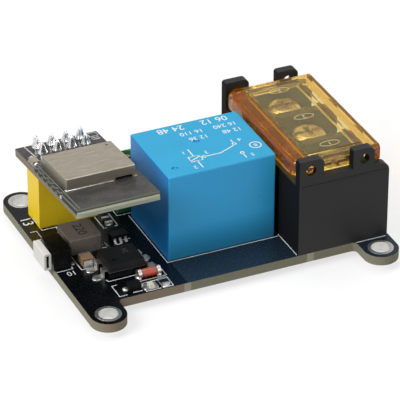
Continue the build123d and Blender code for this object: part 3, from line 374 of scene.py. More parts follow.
def amber_plastic(name):
    """Amber cover: a nearly clear window in a thicker, more golden frame, whose left side is painted darkest
    as shade, under a faint milky layer that is grey-green over the window as a painted reflection of the sky.
    """
    made = Finish(name)
    x, y, _ = made.parts(made.place)
    past_window = abs(x - window_middle[0] * mm) > window_half[0] * mm
    rim = past_window.most(abs(y - window_middle[1] * mm) > window_half[1] * mm)
    # The left frame, which is painted darker as shade.
    strip = x < painted_shade_edge * mm
    wave = made.cloud(3 * mm, 2)
    normal = made.bump(wave, 0.03 * mm, 0.12 * mm)

    window_tint, rim_tint, painted_shade_tint = ink(255, 252, 240), ink(255, 247, 218), ink(248, 214, 96)
    tone = made.mix(strip, made.mix(rim, window_tint, rim_tint), painted_shade_tint)
    glass = made.principled(tone, 0.04, normal, Transmission_Weight=1.0, IOR=1.5, Specular_IOR_Level=0.32)

    gold = ink(222, 176, 92)
    flow = made.mix(made.between(wave, 0.3, 0.7), shade(gold, 0.85), gold)
    # Painted shade: the left frame turns dark orange.
    flow = made.mix(strip, flow, ink(172, 92, 4))
    # Grey-green over the window: partly milkiness, partly a painted reflection of the sky.
    milk_and_painted_sheen = made.mix(rim, ink(190, 194, 178), flow)
    cloudy = made.principled(milk_and_painted_sheen, 0.12, normal, Specular_IOR_Level=0.3)
    mixed = made.mix_shaders(0.045 + rim * 0.02 + strip * 0.07, glass, cloudy)
    return made.clear_body(mixed, ink(255, 240, 200), (0.97, 0.8, 0.0, 1.0), 450.0)


def wound_wire(name, colour, wire=0.12):
    """Enamelled wire lying turn by turn round a coil along x, its thickness in millimetres."""
    made = Finish(name)
    along = made.parts(made.place)[0]
    ridge = made.between((along * (2 * math.pi / (wire * mm))).sine(), -1, 1)
    stray = made.cloud(1 * mm, 2)
    # The troughs between turns are darkened as painted shade.
    tone = made.mix(ridge, shade(colour, 0.35), colour)
    tone = made.mix(made.between(stray, 0.4, 0.7, 0, 0.4), tone, shade(colour, 1.35))
    normal = made.bump(ridge + stray * 0.3, 0.03 * mm)
    shader = made.principled(tone, 0.32, normal, Metallic=0.6, Coat_Weight=0.5, Coat_Roughness=0.15)
    return made.surface(shader)


def pressed_powder(name, colour):
    """Pressed ferrite: dull, with dark pits and light specks, and a painted highlight on its front."""
    made = Finish(name)
    speck = made.cells(0.2 * mm)
    lump = made.cloud(0.5 * mm, 4, rough=0.7)
    tone = made.mix(made.between(lump, 0.35, 0.7), shade(colour, 1.2), shade(colour, 0.72))
    tone = made.mix(made.between(speck, 0.0, 0.3, 0.5, 0), tone, shade(colour, 1.6))
    # Painted highlight on the front faces, over the lumps.
    tone = made.mix(made.front_face() * made.between(lump, 0.35, 0.6, 0.2, 0.7), tone, shade(colour, 2.2))
    normal = made.bump(lump + speck * 0.5, 0.02 * mm, 0.1 * mm)
    return made.surface(made.principled(tone, 0.6, normal, Specular_IOR_Level=0.4))


def brushed_can(name, colour):
    """Nickel silver shield: brushed across, duller in clouds, with painted shade on its upright faces and a
    painted highlight along its edges.
    """
    made = Finish(name)
    brush = made.cloud(0.2 * mm, 4, made.tipped(carrier_tilt, (0.06, 1, 1)), 0.8)
    haze = made.cloud(3 * mm, 2)
    tone = made.mix(made.between(brush, 0.35, 0.65), shade(colour, 0.62), shade(colour, 1.3))
    tone = made.mix(made.between(haze, 0.35, 0.7, 0, 0.3), tone, shade(colour, 0.8))
    # Painted shade on the upright faces.
    tone = made.mix(made.wall() * 0.55, tone, shade(colour, 0.3))
    # Painted highlight along the edges, where the softened direction parts from the face's own.
    sides = {0: made.softened(0.14 * mm, 6), 1: made.facing}
    painted_edge_highlight = made.node("ShaderNodeVectorMath", {"operation": "DISTANCE"}, sides)["Value"]
    tone = made.mix(made.between(painted_edge_highlight, 0.12, 0.5, 0, 0.75), tone, ink(232, 226, 214))
    normal = made.bump(brush, 0.006 * mm, 0.06 * mm)
    return made.surface(made.principled(tone, 0.38, normal, Metallic=0.85))


def white_print(name="white_print", colour=ink(226, 230, 230)):
    """Printed ink, worn in small spots."""
    made = Finish(name)
    wear = made.cloud(0.2 * mm, 3)
    tone = made.mix(made.between(wear, 0.45, 0.75, 0, 0.35), colour, shade(colour, 0.6))
    return made.surface(made.principled(tone, 0.55, made.bump(wear, 0.004 * mm)))


def wet_solder(name):
    """Bright wetted solder with a faintly pitted skin and flux shine."""
    made = Finish(name)
    skin = made.cloud(0.3 * mm, 3)
    haze = made.cloud(0.8 * mm, 2)
    tone = made.mix(made.between(haze, 0.4, 0.7), ink(246, 246, 246), ink(198, 200, 204))
    shine = made.between(skin, 0.35, 0.7, 0.06, 0.22)
    normal = made.bump(skin, 0.02 * mm)
    return made.surface(made.principled(tone, shine, normal, Metallic=1.0, Coat_Weight=0.3))


carrier_foot = carrier_edge[1] * math.sin(slope) + carrier_edge[2] * math.cos(slope)
radio_rim = carrier_foot + radio_top - 0.27
bare_cloth = ink(146, 142, 120)

finishes = {
    "board_black": masked_board("board_black", ink(9, 13, 20), bare_cloth, tabs=panel_tabs, painted_sheen_from=painted_sheen_x),
    "tinned_metal": plated("tinned_metal", ink(236, 235, 230), 0.3),
    # Relay blue: painted light on the upright faces, painted shade at their foot and on the left faces.
    "relay_blue": moulded("relay_blue", ink(46, 160, 204), 0.3, 0.25, 1.5, 0.12, 0.03, 0.35,
                          painted_wall_light=ink(60, 186, 252), left=ink(0, 104, 186)),
    "relay_base_black": moulded("relay_base_black", ink(30, 30, 31)),
    "bobbin_white": moulded("bobbin_white", ink(232, 228, 214), 0.5),
    "copper_winding": wound_wire("copper_winding", ink(205, 115, 60)),
    "soft_iron": plated("soft_iron", ink(190, 190, 192), 0.35, dull=0.25),
    "contact_copper": plated("contact_copper", ink(214, 160, 118)),
    # Terminal black: the left faces are matt and painted darker as shade.
    "terminal_black": moulded("terminal_black", ink(34, 34, 35), 0.45, 0.2, 12.0, 0.1, 0.1, 0.34,
                              matt_painted_shade_left=True),
    "terminal_brass": plated("terminal_brass", ink(214, 196, 140)),
    "screw_nickel": plated("screw_nickel", ink(212, 196, 178), 0.2, 10.0, 0.45),
    "cover_amber": amber_plastic("cover_amber"),
    "socket_yellow": moulded("socket_yellow", ink(252, 212, 30), 0.42, 0.2, 6.0, 0.1, 0.05),
    "header_black": moulded("header_black", ink(34, 34, 35), 0.5),
    # The carrier's left and right edges get painted shade. The radio board's get painted shadow, with a
    # painted shadow band under the pale line of its upper edge.
    "carrier_black": masked_board("carrier_black", ink(44, 42, 41), ink(222, 224, 200), carrier_tilt,
                                  side=ink(132, 118, 104)),
    "radio_board_black": masked_board("radio_board_black", ink(50, 49, 47), ink(214, 218, 194), carrier_tilt,
                                      side=ink(28, 28, 27), rim=radio_rim),
    "shield_metal": brushed_can("shield_metal", ink(186, 178, 160)),
    "chip_black": moulded("chip_black", ink(13, 13, 14), 0.42, 0.1, 10.0, 0.04, level=0.25),
    "chip_brown": moulded("chip_brown", ink(150, 118, 92), 0.4, relief=8.0, edge=0.06),
    "input_green": moulded("input_green", ink(20, 122, 70), 0.42),
    "switch_black": moulded("switch_black", ink(12, 12, 12), 0.25, level=0.25),
    "button_cream": moulded("button_cream", ink(228, 226, 220), 0.4, 0.15, 5.0, 0.1, 0.04),
    "dome_steel": plated("dome_steel", ink(205, 205, 205)),
    "inductor_grey": pressed_powder("inductor_grey", ink(92, 84, 77)),
    "diode_glass": see_through("diode_glass", ink(240, 150, 118), ink(255, 130, 90), 0.02, 1.52, 1200.0,
                               0.35),
    "light_white": moulded("light_white", ink(232, 230, 222)),
    "light_resin": see_through("light_resin", ink(252, 250, 240), ink(245, 240, 215), 0.3, 1.5, 900.0, 0.45),
}

for row in frame["record"]["subparts"]:
    cad = nodes[row["node"]]
    cad.data.materials.clear()
    cad.data.materials.append(finishes[row["material_slot"]])
satin_tin = plated("satin_tin", ink(240, 239, 234), 0.34, 30.0, 0.5)
for name in ("chip_end_caps", "coupler_leads", "regulator_leads", "signal_diode_leads"):
    nodes[name].data.materials[0] = satin_tin
nodes["carrier_capacitor"].data.materials[0] = moulded("chip_tan", ink(150, 138, 122), 0.4)
nodes["radio_edge_solder"].data.materials[0] = plated("dull_tin", ink(120, 116, 106), 0.45)

print_white = white_print()
print_dark = white_print("dark_print", ink(12, 11, 10))
print_faint = white_print("faint_print", ink(84, 84, 82))
print_green = white_print("edge_green", ink(128, 134, 116))
solder = wet_solder("wet_solder")


# Pieces that prints, solder and small trim are made of

def new_object(name, points, edges=(), faces=()):
    mesh = bpy.data.meshes.new(name)
    mesh.from_pydata([tuple(v * mm for v in p) for p in points], list(edges), list(faces))
    made = bpy.data.objects.new(name, mesh)
    bpy.context.scene.collection.objects.link(made)
    return made


def to_mesh(made, name):
    """Plain mesh of an object as its modifiers leave it; the object itself is removed."""
    bpy.context.view_layer.update()
    shape = bpy.data.meshes.new_from_object(made.evaluated_get(bpy.context.evaluated_depsgraph_get()))
    shape.transform(made.matrix_world)
    bpy.data.objects.remove(made)
    shape.name = name
    piece = bpy.data.objects.new(name, shape)
    bpy.context.scene.collection.objects.link(piece)
    return piece


def geometry_tree(name, inputs):
    """Empty Geometry Nodes tree with named inputs; gives the tree, its nodes and its group input."""
    tree = bpy.data.node_groups.new(name, "GeometryNodeTree")
    tree.interface.new_socket("Geometry", in_out="INPUT", socket_type="NodeSocketGeometry")
    for label, kind in inputs.items():
        tree.interface.new_socket(label, in_out="INPUT", socket_type=kind)
    tree.interface.new_socket("Geometry", in_out="OUTPUT", socket_type="NodeSocketGeometry")
    made = Nodes(tree)
    return tree, made, made.node("NodeGroupInput")


def run_tree(made, tree, values):
    """Runs a tree on an object with values for its named inputs."""
    modifier = made.modifiers.new(tree.name, "NODES")
    modifier.node_group = tree
    for item in tree.interface.items_tree:
        if item.in_out == "INPUT" and item.name in values:
            modifier[item.identifier] = values[item.name]
    return made


def finish_tree(made, geometry, material):
    """Ends a tree in plain geometry that wears one material."""
    whole = made.node("GeometryNodeRealizeInstances", None, {"Geometry": geometry})["Geometry"]
    worn = made.node("GeometryNodeSetMaterial", None, {"Geometry": whole, "Material": material})["Geometry"]
    made.node("NodeGroupOutput", None, {"Geometry": worn})


def line_tree():
    """Turns loose edges into flat printed lines of a width and height."""
    kinds = {"Width": "NodeSocketFloat", "Height": "NodeSocketFloat", "Finish": "NodeSocketMaterial"}
    tree, made, given = geometry_tree("printed_lines", kinds)
    path = made.node("GeometryNodeMeshToCurve", None, {"Mesh": given["Geometry"]})["Curve"]
    path = made.node("GeometryNodeSetCurveNormal", {"mode": "Z_UP"}, {"Curve": path})["Curve"]
    profile = made.node("GeometryNodeCurvePrimitiveQuadrilateral", {"mode": "RECTANGLE"},
                        {"Width": given["Width"], "Height": given["Height"]})["Curve"]
    strip = made.node("GeometryNodeCurveToMesh", None,
                      {"Curve": path, "Profile Curve": profile, "Fill Caps": True})["Mesh"]
    finish_tree(made, strip, given["Finish"])
    return tree


def stored_size(made):
    """Each point's own size, from the attribute that dotted() fills."""
    settings = {"data_type": "FLOAT_VECTOR"}
    return made.node("GeometryNodeInputNamedAttribute", settings, {"Name": "size"})["Attribute"]


def drop_tree():
    """Puts a rounded drop, stretched by the point's own size, on each point."""
    kinds = {"Rings": "NodeSocketInt", "Finish": "NodeSocketMaterial"}
    tree, made, given = geometry_tree("solder_drops", kinds)
    ball = made.node("GeometryNodeMeshUVSphere", None,
                     {"Segments": 20, "Rings": given["Rings"], "Radius": 1.0})["Mesh"]
    ball = made.node("GeometryNodeSetShadeSmooth", None, {"Geometry": ball})["Geometry"]
    sockets = {"Points": given["Geometry"], "Instance": ball, "Scale": stored_size(made)}
    drops = made.node("GeometryNodeInstanceOnPoints", None, sockets)["Instances"]
    finish_tree(made, drops, given["Finish"])
    return tree


def peak_tree():
    """Turns an upright profile into a solder peak on each point, each with its own height, girth and lean."""
    kinds = {"Profile": "NodeSocketObject", "Spread": "NodeSocketFloat", "Lean": "NodeSocketFloat",
             "Seed": "NodeSocketInt", "Finish": "NodeSocketMaterial"}
    tree, made, given = geometry_tree("solder_peaks", kinds)
    cone = made.node("GeometryNodeObjectInfo", None, {"Object": given["Profile"]})["Geometry"]
    scale = {"operation": "SCALE"}
    sockets = {"Min_001": 1 - given["Spread"], "Max_001": 1 + given["Spread"], "Seed": given["Seed"]}
    girth = made.node("FunctionNodeRandomValue", {"data_type": "FLOAT"}, sockets)["Value_001"]
    grown = made.node("ShaderNodeVectorMath", scale, {"Vector": stored_size(made), "Scale": girth})["Vector"]
    sockets = {"X": given["Lean"], "Y": given["Lean"], "Z": math.pi}
    most = made.node("ShaderNodeCombineXYZ", None, sockets)["Vector"]
    least = made.node("ShaderNodeVectorMath", scale, {"Vector": most, "Scale": -1.0})["Vector"]
    sockets = {"Min": least, "Max": most, "Seed": given["Seed"]}
    turn = made.node("FunctionNodeRandomValue", {"data_type": "FLOAT_VECTOR"}, sockets)["Value"]
    sockets = {"Points": given["Geometry"], "Instance": cone, "Scale": grown, "Rotation": turn}
    stood = made.node("GeometryNodeInstanceOnPoints", None, sockets)["Instances"]
    finish_tree(made, stood, given["Finish"])
    return tree


lines, drops, spikes = line_tree(), drop_tree(), peak_tree()


def wires(name, runs, height, carry=tuple):
    """Object of loose edges: each run is a list of (x, y) points at a height, carried to their place."""
    points, edges = [], []
    for run in runs:
        start = len(points)
        points += [carry((p[0], p[1], height)) for p in run]
        edges += [(start + i, start + i + 1) for i in range(len(run) - 1)]
    return new_object(name, points, edges)


def printed(name, runs, height, width=0.19, thick=0.016, material=None, carry=tuple):
    made = wires(name, runs, height + thick / 2, carry)
    run_tree(made, lines, {"Width": width * mm, "Height": thick * mm, "Finish": material or print_white})
    return to_mesh(made, name)


def dotted(name, spots, material, tree=None, values=None):
    """Drops or peaks on spots of (x, y, z, size x, size y, size z)."""
    made = new_object(name, [s[:3] for s in spots])
    sizes = made.data.attributes.new("size", "FLOAT_VECTOR", "POINT")
    for item, spot in zip(sizes.data, spots):
        item.vector = tuple(v * mm for v in spot[3:])
    run_tree(made, tree or drops, {"Rings": 10, "Finish": material, **(values or {})})
    return to_mesh(made, name)


def numbers(name, marks, thick, material):
    """One piece of plain numbers: each mark is (text, letter size, x, y, z, turn in degrees)."""
    made = []
    for text, size, x, y, z, turn in marks:
        curve = bpy.data.curves.new(name, "FONT")
        curve.body = text
        curve.size = size * mm
        curve.extrude = thick * mm / 2
        curve.align_x, curve.align_y = "CENTER", "CENTER"
        mark = bpy.data.objects.new(name, curve)
        place = Matrix.Translation((x * mm, y * mm, z * mm))
        mark.matrix_world = place @ Matrix.Rotation(math.radians(turn), 4, "Z")
        bpy.context.scene.collection.objects.link(mark)
        made.append(to_mesh(mark, name))
    piece = join(name, made)
    return dressed(piece, material, smooth=False)


def join(name, objects):
    """One mesh piece of several, which are removed; materials are set afterwards."""
    whole = bmesh.new()
    for made in objects:
        whole.from_mesh(made.data)
        bpy.data.objects.remove(made)
    mesh = bpy.data.meshes.new(name)
    whole.to_mesh(mesh)
    whole.free()
    piece = bpy.data.objects.new(name, mesh)
    bpy.context.scene.collection.objects.link(piece)
    return piece


def dressed(piece, material, smooth=True):
    piece.data.materials.clear()
    piece.data.materials.append(material)
    for face in piece.data.polygons:
        face.use_smooth = smooth
    return piece


def fitted(piece, body, slot=None, *replaced):
    """Rides a finished piece on its body and hides the nodes that it stands for. Its slot is not used."""
    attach(piece, body)
    if replaced:
        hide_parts(*replaced)
    return piece


def box_run(x0, y0, x1, y1):
    return [(x0, y0), (x1, y0), (x1, y1), (x0, y1), (x0, y0)]


def ring_run(x, y, radius, steps=24, stretch=1.0):
    turns = [2 * math.pi * i / steps for i in range(steps + 1)]
    return [(x + radius * stretch * math.cos(t), y + radius * math.sin(t)) for t in turns]


def on_carrier(point):
    """Place of a point drawn flat on the carrier, from its back edge and its lower face."""
    x, y, z = point
    return (carrier_edge[0] + x, carrier_edge[1] + y * math.cos(slope) + z * math.sin(slope),
            carrier_edge[2] - y * math.sin(slope) + z * math.cos(slope))


# Lines printed on the main board, in millimetres from its middle

board_runs = [
    [(-9.5, 7.3), (-9.5, -8.75), (10.3, -8.75)],
    [(10.62, -8.2), (10.65, -15.3)],
    [(21.15, -15.82), (26.5, -15.82)],
    [(-24.4, 14.2), (-24.4, 8.75), (-21.6, 8.75)],
    [(-21.9, 8.6), (-21.9, 7.5)],
    [(-26.4, 8.85), (-25.3, 8.85), (-25.3, 6.2), (-26.4, 6.2)],
    [(-23.9, -0.35), (-23.1, -0.5), (-23.05, -5.15), (-21.5, -5.1)],
    [(-20.05, -3.6), (-20.1, -0.35), (-16.7, -0.35)],
    [(-20.65, -9.5), (-20.45, -10.1), (-15.6, -10.05)],
    [(-15.95, -12.1), (-11.15, -12.1), (-11.2, -9.7)],
    [(-12.5, -7.0), (-12.7, -8.2)],
    [(-19.6, -11.55), (-20.55, -11.6), (-20.55, -14.95), (-19.2, -14.9)],
    [(-18.1, -14.7), (-16.5, -14.7)],
    [(-13.2, -12.75), (-15.95, -12.8), (-16.0, -15.25), (-13.45, -15.25)],
    box_run(-11.35, -15.3, -13.1, -12.6),
    [(-14.85, 9.1), (-14.85, 5.15), (-14.3, 5.15)],
    [(-12.35, 9.1), (-12.35, 5.15), (-12.9, 5.15)],
    [(-13.7, 0.6), (-12.1, 0.6)],
    [(-27.05, -4.25), (-24.2, -4.2), (-24.2, -3.2)],
    [(-0.4, 8.2), (-0.4, 15.3)],
    [(-11.3, 15.35), (-11.3, 7.9), (-0.4, 7.9)],
    [(26.95, -15.3), (26.95, 14.9)],
    [(10.55, 14.7), (26.9, 14.7)],
    [(-16.4, 1.1), (-16.4, -0.2)],
    [(-14.9, -0.35), (-13.9, -0.35)],
]
fitted(printed("board_print", board_runs, board_top), "board")

# Prints and solder of the radio module, drawn from the carrier's back edge

module_runs = [
    [(-5.6, -0.15), (-5.35, -4.6)],
    [(-6.6, -4.6), (-5.2, -4.6)],
    [(-6.95, -5.3), (-5.75, -5.3), (-5.75, -8.3), (-6.95, -8.3), (-6.95, -5.3)],
    box_run(5.35, -0.35, 6.85, -1.75),
    [(5.4, -2.3), (6.8, -2.3)],
    [(5.4, -2.9), (6.8, -2.9)],
]
fitted(printed("carrier_print", module_runs, carrier_thickness, 0.14, carry=on_carrier), "radio_module")
edge_line = [[(-6.95, -radio_back - 0.1), (-6.95, -radio_front + 0.25)]]
edge_line = printed("radio_edge_line", edge_line, radio_top, 0.12, material=print_green, carry=on_carrier)
fitted(edge_line, "radio_module")

can_left, can_right = radio_offset - 6.0, radio_offset + 6.0
can_front = -radio_back - 11.3
foot_gap = 0.05
foot_y = can_front - foot_gap
opening_start, opening_end = can_right - 3.9, can_right - 0.4
foot = [
    [(can_left - foot_gap, can_front + 0.5), (can_left - foot_gap, foot_y), (opening_start, foot_y)],
    [(can_right + foot_gap, can_front + 0.9), (can_right + foot_gap, foot_y), (opening_end, foot_y)],
]
foot = printed("can_foot_solder", foot, radio_top, 0.2, 0.12, satin_tin, on_carrier)
fitted(foot, "radio_module", "tinned_metal")


def turned_shape(name, profile, steps):
    """Closed turned shape from (radius, height) pairs in metres, the first and last of them on the axis."""
    points, rings = [], []
    for radius, z in profile:
        count = steps if radius > 0 else 1
        rings.append(range(len(points), len(points) + count))
        turns = [2 * math.pi * i / count for i in range(count)]
        points += [(radius * math.cos(t), radius * math.sin(t), z) for t in turns]
    faces = []
    for low, high in zip(rings, rings[1:]):
        for i in range(steps):
            n = (i + 1) % steps
            corners = [low[i % len(low)], low[n % len(low)], high[n % len(high)], high[i % len(high)]]
            faces.append(list(dict.fromkeys(corners)))
    made = new_object(name, [tuple(v / mm for v in p) for p in points], faces=faces)
    for face in made.data.polygons:
        face.use_smooth = True
    return made


# Half outline of a solder peak, in shares of its radius and height
peak_shares = [(0, -0.1), (1.0, -0.08), (0.98, 0.03), (0.86, 0.12), (0.72, 0.26), (0.6, 0.44), (0.49, 0.62),
               (0.38, 0.78), (0.24, 0.9), (0.1, 0.975), (0, 1.0)]
peak_radius, peak_heights, peak_sink = 0.92, (2.05, 2.1), 0.03
peak_shape = turned_shape("peak_profile", peak_shares, 22)
peak_spots = []
for y, tall in zip(pin_y, peak_heights):
    along = (y - carrier_edge[1]) / math.cos(slope)
    base = on_carrier((0, along, carrier_thickness))[2] - peak_sink
    peak_spots += [(x, y, base, peak_radius, peak_radius, tall) for x in pin_x]
peaks = dotted("solder_peaks", peak_spots, solder, spikes,
               {"Profile": peak_shape, "Spread": 0.07, "Lean": 0.07, "Seed": 4})
bpy.data.objects.remove(peak_shape)
fitted(peaks, "radio_module", "tinned_metal", "header_solder")


def pin_shape(x, y, low, high, half, tip):
    """Square pin with pointed ends."""
    levels = [(low, half - tip), (low + tip, half), (high - tip, half), (high, half - tip)]
    corners = ((-1, -1), (1, -1), (1, 1), (-1, 1))
    points = [(x + sx * r, y + sy * r, z) for z, r in levels for sx, sy in corners]
    faces = [(3, 2, 1, 0), (12, 13, 14, 15)]
    for level in range(3):
        for i in range(4):
            n = (i + 1) % 4
            faces.append((4 * level + i, 4 * level + n, 4 * level + 4 + n, 4 * level + 4 + i))
    return points, faces


pin_half, pin_tip = 0.32, 0.15
pin_low, pin_high = strip_bottom - pin_reach, peak_top - 0.45
points, faces = [], []
for x in pin_x:
    for y in pin_y:
        more, sides = pin_shape(x, y, pin_low, pin_high, pin_half, pin_tip)
        faces += [[len(points) + i for i in side] for side in sides]
        points += more
pins = dressed(new_object("square_pins", points, faces=faces), finishes["tinned_metal"], smooth=False)
fitted(pins, "radio_module", "tinned_metal", "header_pins")

# Solder at the feet of the small parts on the main board: each place, then the drop's half sizes

feet = []
low, high = reach("coupler_leads")
for y in (-8.47, -5.93):
    feet += [(x, y, board_top, 0.95, 0.75, 0.2) for x in (low.x + 0.55, high.x - 0.55)]
low, high = reach("regulator_leads")
for i in (-1, 0, 1):
    x = (low.x + high.x) / 2 + i * 0.95
    feet += [(x, y, board_top, 0.28, 0.36, 0.14) for y in (low.y + 0.15, high.y - 0.15)]
low, high = reach("signal_diode_leads")
feet += [(x, (low.y + high.y) / 2, board_top, 0.55, 0.6, 0.4) for x in (low.x + 0.15, high.x - 0.15)]
low, high = reach("glass_diode_caps")
feet += [(x, (low.y + high.y) / 2, board_top, 0.55, 0.75, 0.5) for x in (low.x + 0.2, high.x - 0.2)]

# Two chip resistors, then the brown capacitor
for x, y, width, length, tall in ((-12.5, -14.1, 1.25, 2.0, 0.5), (-13.6, 6.8, 1.25, 2.0, 0.5),
                                  (-21.55, -3.55, 1.9, 2.9, 0.25)):
    for side in (-1, 1):
        end = y + side * (length / 2 - 0.02)
        feet.append((x, end, board_top, width * 0.5, 0.26 + tall * 0.1, tall * 0.4))

light_x, light_y, light_pad = -14.95, -14.4, 0.98
feet += [(light_x + side * light_pad, light_y, board_top, 0.36, 0.66, 0.3) for side in (-1, 1)]
low, high = reach("inductor_feet")
feet += [(x, (low.y + high.y) / 2, board_top, 0.35, 1.0, 0.25) for x in (low.x, high.x)]
low, high = reach("reset_switch_legs")
feet += [(high.x - 0.1, y, board_top, 0.5, 0.4, 0.16) for y in (low.y + 0.35, high.y - 0.35)]
fitted(dotted("small_part_solder", feet, satin_tin), "board", "tinned_metal")

# Number on the inductor
low, high = reach("inductor_body")
middle = (low + high) / 2
marks = [("220", 2.3, middle.x, middle.y, high.z, -90)]
fitted(numbers("inductor_number", marks, 0.02, print_dark), "board")

# Ends of the carrier's capacitor, and the last contact of the radio board's left edge, which is the brightest
low, high = reach("carrier_capacitor")
middle = (low + high) / 2
ends = [(middle.x, y, middle.z - 0.1, 0.5, 0.32, 0.42) for y in (low.y, high.y)]
ends.append((*on_carrier((-7.52, -20.9, 1.6)), 0.12, 0.4, 0.3))
fitted(dotted("carrier_capacitor_solder", ends, satin_tin), "radio_module", "tinned_metal")

# Contact symbol and numbers on the relay
low_pole, high_pole, coil_pole = (5.1, -5.8), (5.1, -2.7), (-1.1, -4.45)
pole_ring = 0.3
ink_height = 0.012
symbol = [
    box_run(-3.6, -5.2, -1.6, -3.7),
    [(-3.6, -4.9), (-1.6, -4.0)],
    [(-2.6, -3.7), (-2.6, -1.3)],
    [(-2.6, -5.2), (-2.6, -7.5)],
    [(-0.8, -4.45), (1.9, -4.45), (5.0, -3.0)],
    [(5.1, -1.3), (5.1, -2.4)],
    [(5.1, -7.5), (5.1, -6.1)],
    ring_run(*high_pole, pole_ring, 16),
    ring_run(*low_pole, pole_ring, 16),
    ring_run(*coil_pole, pole_ring, 16),
    ring_run(8.1, -4.4, 0.95),
]
fitted(printed("relay_symbol", symbol, relay_top, 0.22, ink_height), "board")

marks = [(text, 2.1, x, 5.7) for text, x in (("06 12", 5.2), ("24 48", -2.6))]
marks += [(text, 1.5, x, 3.5) for text, x in (("16 240", 6.2), ("16 110", 0.2))]
marks += [(text, 1.5, x, 1.5) for text, x in (("12 48", 6.6), ("12 36", 0.6))]
marks += [(text, 1.3, x, y) for text, x, y in (("1", -3.7, -2.0), ("2", -3.7, -6.9), ("3", -0.2, -3.3),
                                               ("4", 6.4, -1.7), ("5", 6.4, -6.9))]
marks.append(("8", 1.2, 8.1, -4.4))
marks = [(*mark, relay_top, 180) for mark in marks]
fitted(numbers("relay_pin_numbers", marks, ink_height, print_white), "board")

# Numbers on the board and on the four-lead package, with that package's seam
marks = [("13", 2.6, -25.75, 12.3, board_top, -90), ("10", 1.7, -24.9, -5.35, board_top, 180),
         ("6", 1.3, -11.6, -9.1, board_top, 180), ("2", 1.3, -17.2, 1.0, board_top, 180)]
fitted(numbers("board_numbers", marks, ink_height, print_white), "board")
low, high = reach("coupler_body")
marks = [("24", 1.3, high.x - 2.2, high.y - 2.0, high.z + 0.003, 90)]
fitted(numbers("coupler_number", marks, ink_height, print_faint), "board")
seam = [box_run(low.x, low.y, high.x, high.y)]
fitted(printed("coupler_seam", seam, (low.z + high.z) / 2, 0.06, 0.06, print_faint), "board")

# The dark well in the reset button's end

low, high = reach("reset_button")
well_wall, well_width = 0.36, 0.64
well_x = (low.x + well_wall, low.x + well_wall + well_width)
well_z = (low.z + well_wall, high.z - well_wall)
corners = [(x, low.y + depth, z) for depth in (0.2, 0.48) for z in well_z for x in well_x]
sides = [(0, 1, 3, 2), (4, 6, 7, 5), (0, 4, 5, 1), (2, 3, 7, 6), (0, 2, 6, 4), (1, 5, 7, 3)]
well = dressed(new_object("button_well", corners, faces=sides), finishes["switch_black"], smooth=False)
fitted(well, "reset_button", "switch_black")

# Raised ovals and numbers over the three poles of the terminal cover, painted pale gold as a highlight

cover_face = reach("terminal_cover")[1].z
# The raised ovals and numbers are painted pale gold as a highlight.
relief = white_print("cover_painted_highlight", ink(206, 190, 140))
pole_x, pole_y = 18.5, (8.5, -1.0, -10.5)
ovals = [ring_run(pole_x, y, 0.75, 32, 2.3) for y in pole_y]
fitted(printed("cover_ovals", ovals, cover_face, 0.11, 0.05, relief), "terminal_cover", "cover_amber")
marks = [(text, 1.3, pole_x, y, cover_face, 180) for text, y in zip("321", pole_y)]
fitted(numbers("cover_numbers", marks, 0.08, relief), "terminal_cover", "cover_amber")

# Step across the outer face of each end plate of the terminal block

low, high = reach("terminal_housing")
step_width, step_tall, step_height = 0.08, 0.3, 14.1
places = {"end_plate_step_front": low.y - step_width / 2, "end_plate_step_back": high.y + step_width / 2}
for name, y in places.items():
    run = [(low.x + 0.6, y), (high.x - 0.4, y)]
    step = printed(name, [run], step_height, step_width, step_tall, finishes["terminal_black"])
    fitted(step, "board", "terminal_black")

# Tinned power tracks under the board

tracks = [
    [(7.06, -6.65), (11.0, -10.15), (14.56, -10.15)],
    [(-7.14, -0.65), (-3.0, -0.65), (2.0, -0.65), (14.56, -0.65)],
    [(7.06, 5.35), (10.0, 8.85), (14.56, 8.85)],
]
fitted(printed("power_tracks", tracks, -0.06, 2.6, 0.05, finishes["tinned_metal"]), "board", "tinned_metal")


# Studio

def pale_floor():
    made = Finish("studio_floor")
    path = made.node("ShaderNodeLightPath")
    seen = path["Is Camera Ray"].most(path["Is Glossy Ray"]).most(path["Is Transmission Ray"])
    grain = made.cloud(0.02, 2)
    tone = made.mix(made.between(grain, 0.3, 0.7), ink(246, 246, 246), ink(250, 250, 250))
    tone = made.mix(path["Is Camera Ray"], ink(150, 150, 150), tone)
    paper = made.principled(tone, 0.9, Specular_IOR_Level=0.0)
    glow = made.node("ShaderNodeEmission", None, {"Color": (1, 1, 1, 1), "Strength": 1.0})["Emission"]
    return made.surface(made.mix_shaders(seen * 0.7, paper, glow))


floor_half, floor_level = 3000, -1.31
corners = [(x * floor_half, y * floor_half, floor_level) for x, y in ((-1, -1), (1, -1), (1, 1), (-1, 1))]
floor = new_object("studio_floor", corners, faces=[(0, 1, 2, 3)])
floor.data.materials.append(pale_floor())

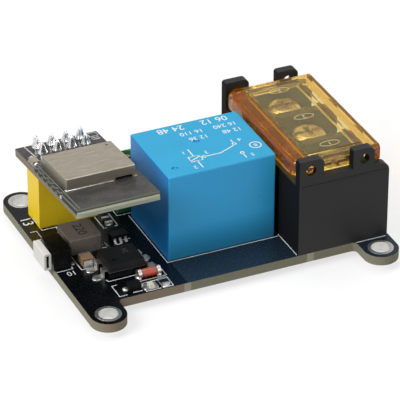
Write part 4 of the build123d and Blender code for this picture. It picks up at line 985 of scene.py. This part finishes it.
world = bpy.data.worlds.new("studio")
world.use_nodes = True
bpy.context.scene.world = world
air = Nodes(world.node_tree)
world.node_tree.nodes.clear()
path = air.node("ShaderNodeLightPath")
direction = air.node("ShaderNodeTexCoord")["Generated"]
up = air.node("ShaderNodeSeparateXYZ", None, {"Vector": direction})["Z"]
span = {"Value": up, "From Min": 0.12, "From Max": 0.5, "To Min": 1.0, "To Max": 0.4}
above = air.node("ShaderNodeMapRange", None, span)["Result"]
seen = path["Is Camera Ray"].most(path["Is Transmission Ray"])
lit = path["Is Glossy Ray"] * above + (1 - path["Is Glossy Ray"]) * 0.3
strength = seen + (1 - seen) * lit
sky = air.node("ShaderNodeBackground", None, {"Color": (1, 1, 1, 1), "Strength": strength})["Background"]
air.node("ShaderNodeOutputWorld", None, {"Surface": sky})


lamp_aim = Vector((0, 0, 10 * mm))
camera_aim = Vector((3.34 * mm, 6.87 * mm, 1.6 * mm))
camera_distance = 0.5295


def softbox(name, place, size, power):
    lamp = bpy.data.lights.new(name, "AREA")
    lamp.shape = "RECTANGLE"
    lamp.size, lamp.size_y = size
    lamp.energy = power
    made = bpy.data.objects.new(name, lamp)
    made.location = place
    made.rotation_euler = (lamp_aim - Vector(place)).to_track_quat("-Z", "Y").to_euler()
    bpy.context.scene.collection.objects.link(made)


softbox("key_light", (-0.42, -0.1, 0.4), (0.35, 0.3), 2.9)
softbox("fill_light", (0.2, -0.5, 0.3), (0.4, 0.3), 0.45)
softbox("top_light", (0.05, 0.15, 0.6), (0.4, 0.3), 1.4)


# Camera, at the photograph's place

def place_camera():
    """Long lens, turned, raised and rolled by these degrees round the point that it looks at."""
    turn, rise, roll = (math.radians(a) for a in (-24.44, 31.32, 0.17))
    back = Vector((math.sin(turn) * math.cos(rise), -math.cos(turn) * math.cos(rise), math.sin(rise)))
    right = Vector((0, 0, 1)).cross(back).normalized()
    upward = back.cross(right)
    side = math.cos(roll) * right + math.sin(roll) * upward
    head = -math.sin(roll) * right + math.cos(roll) * upward
    lens = bpy.data.cameras.new("camera")
    lens.sensor_width = 36
    lens.lens = 284.65
    lens.clip_start, lens.clip_end = 0.01, 20
    made = bpy.data.objects.new("camera", lens)
    place = camera_aim + back * camera_distance
    made.matrix_world = Matrix.Translation(place) @ Matrix((side, head, back)).transposed().to_4x4()
    bpy.context.scene.collection.objects.link(made)
    bpy.context.scene.camera = made


place_camera()
bpy.context.scene.view_settings.view_transform = "Standard"
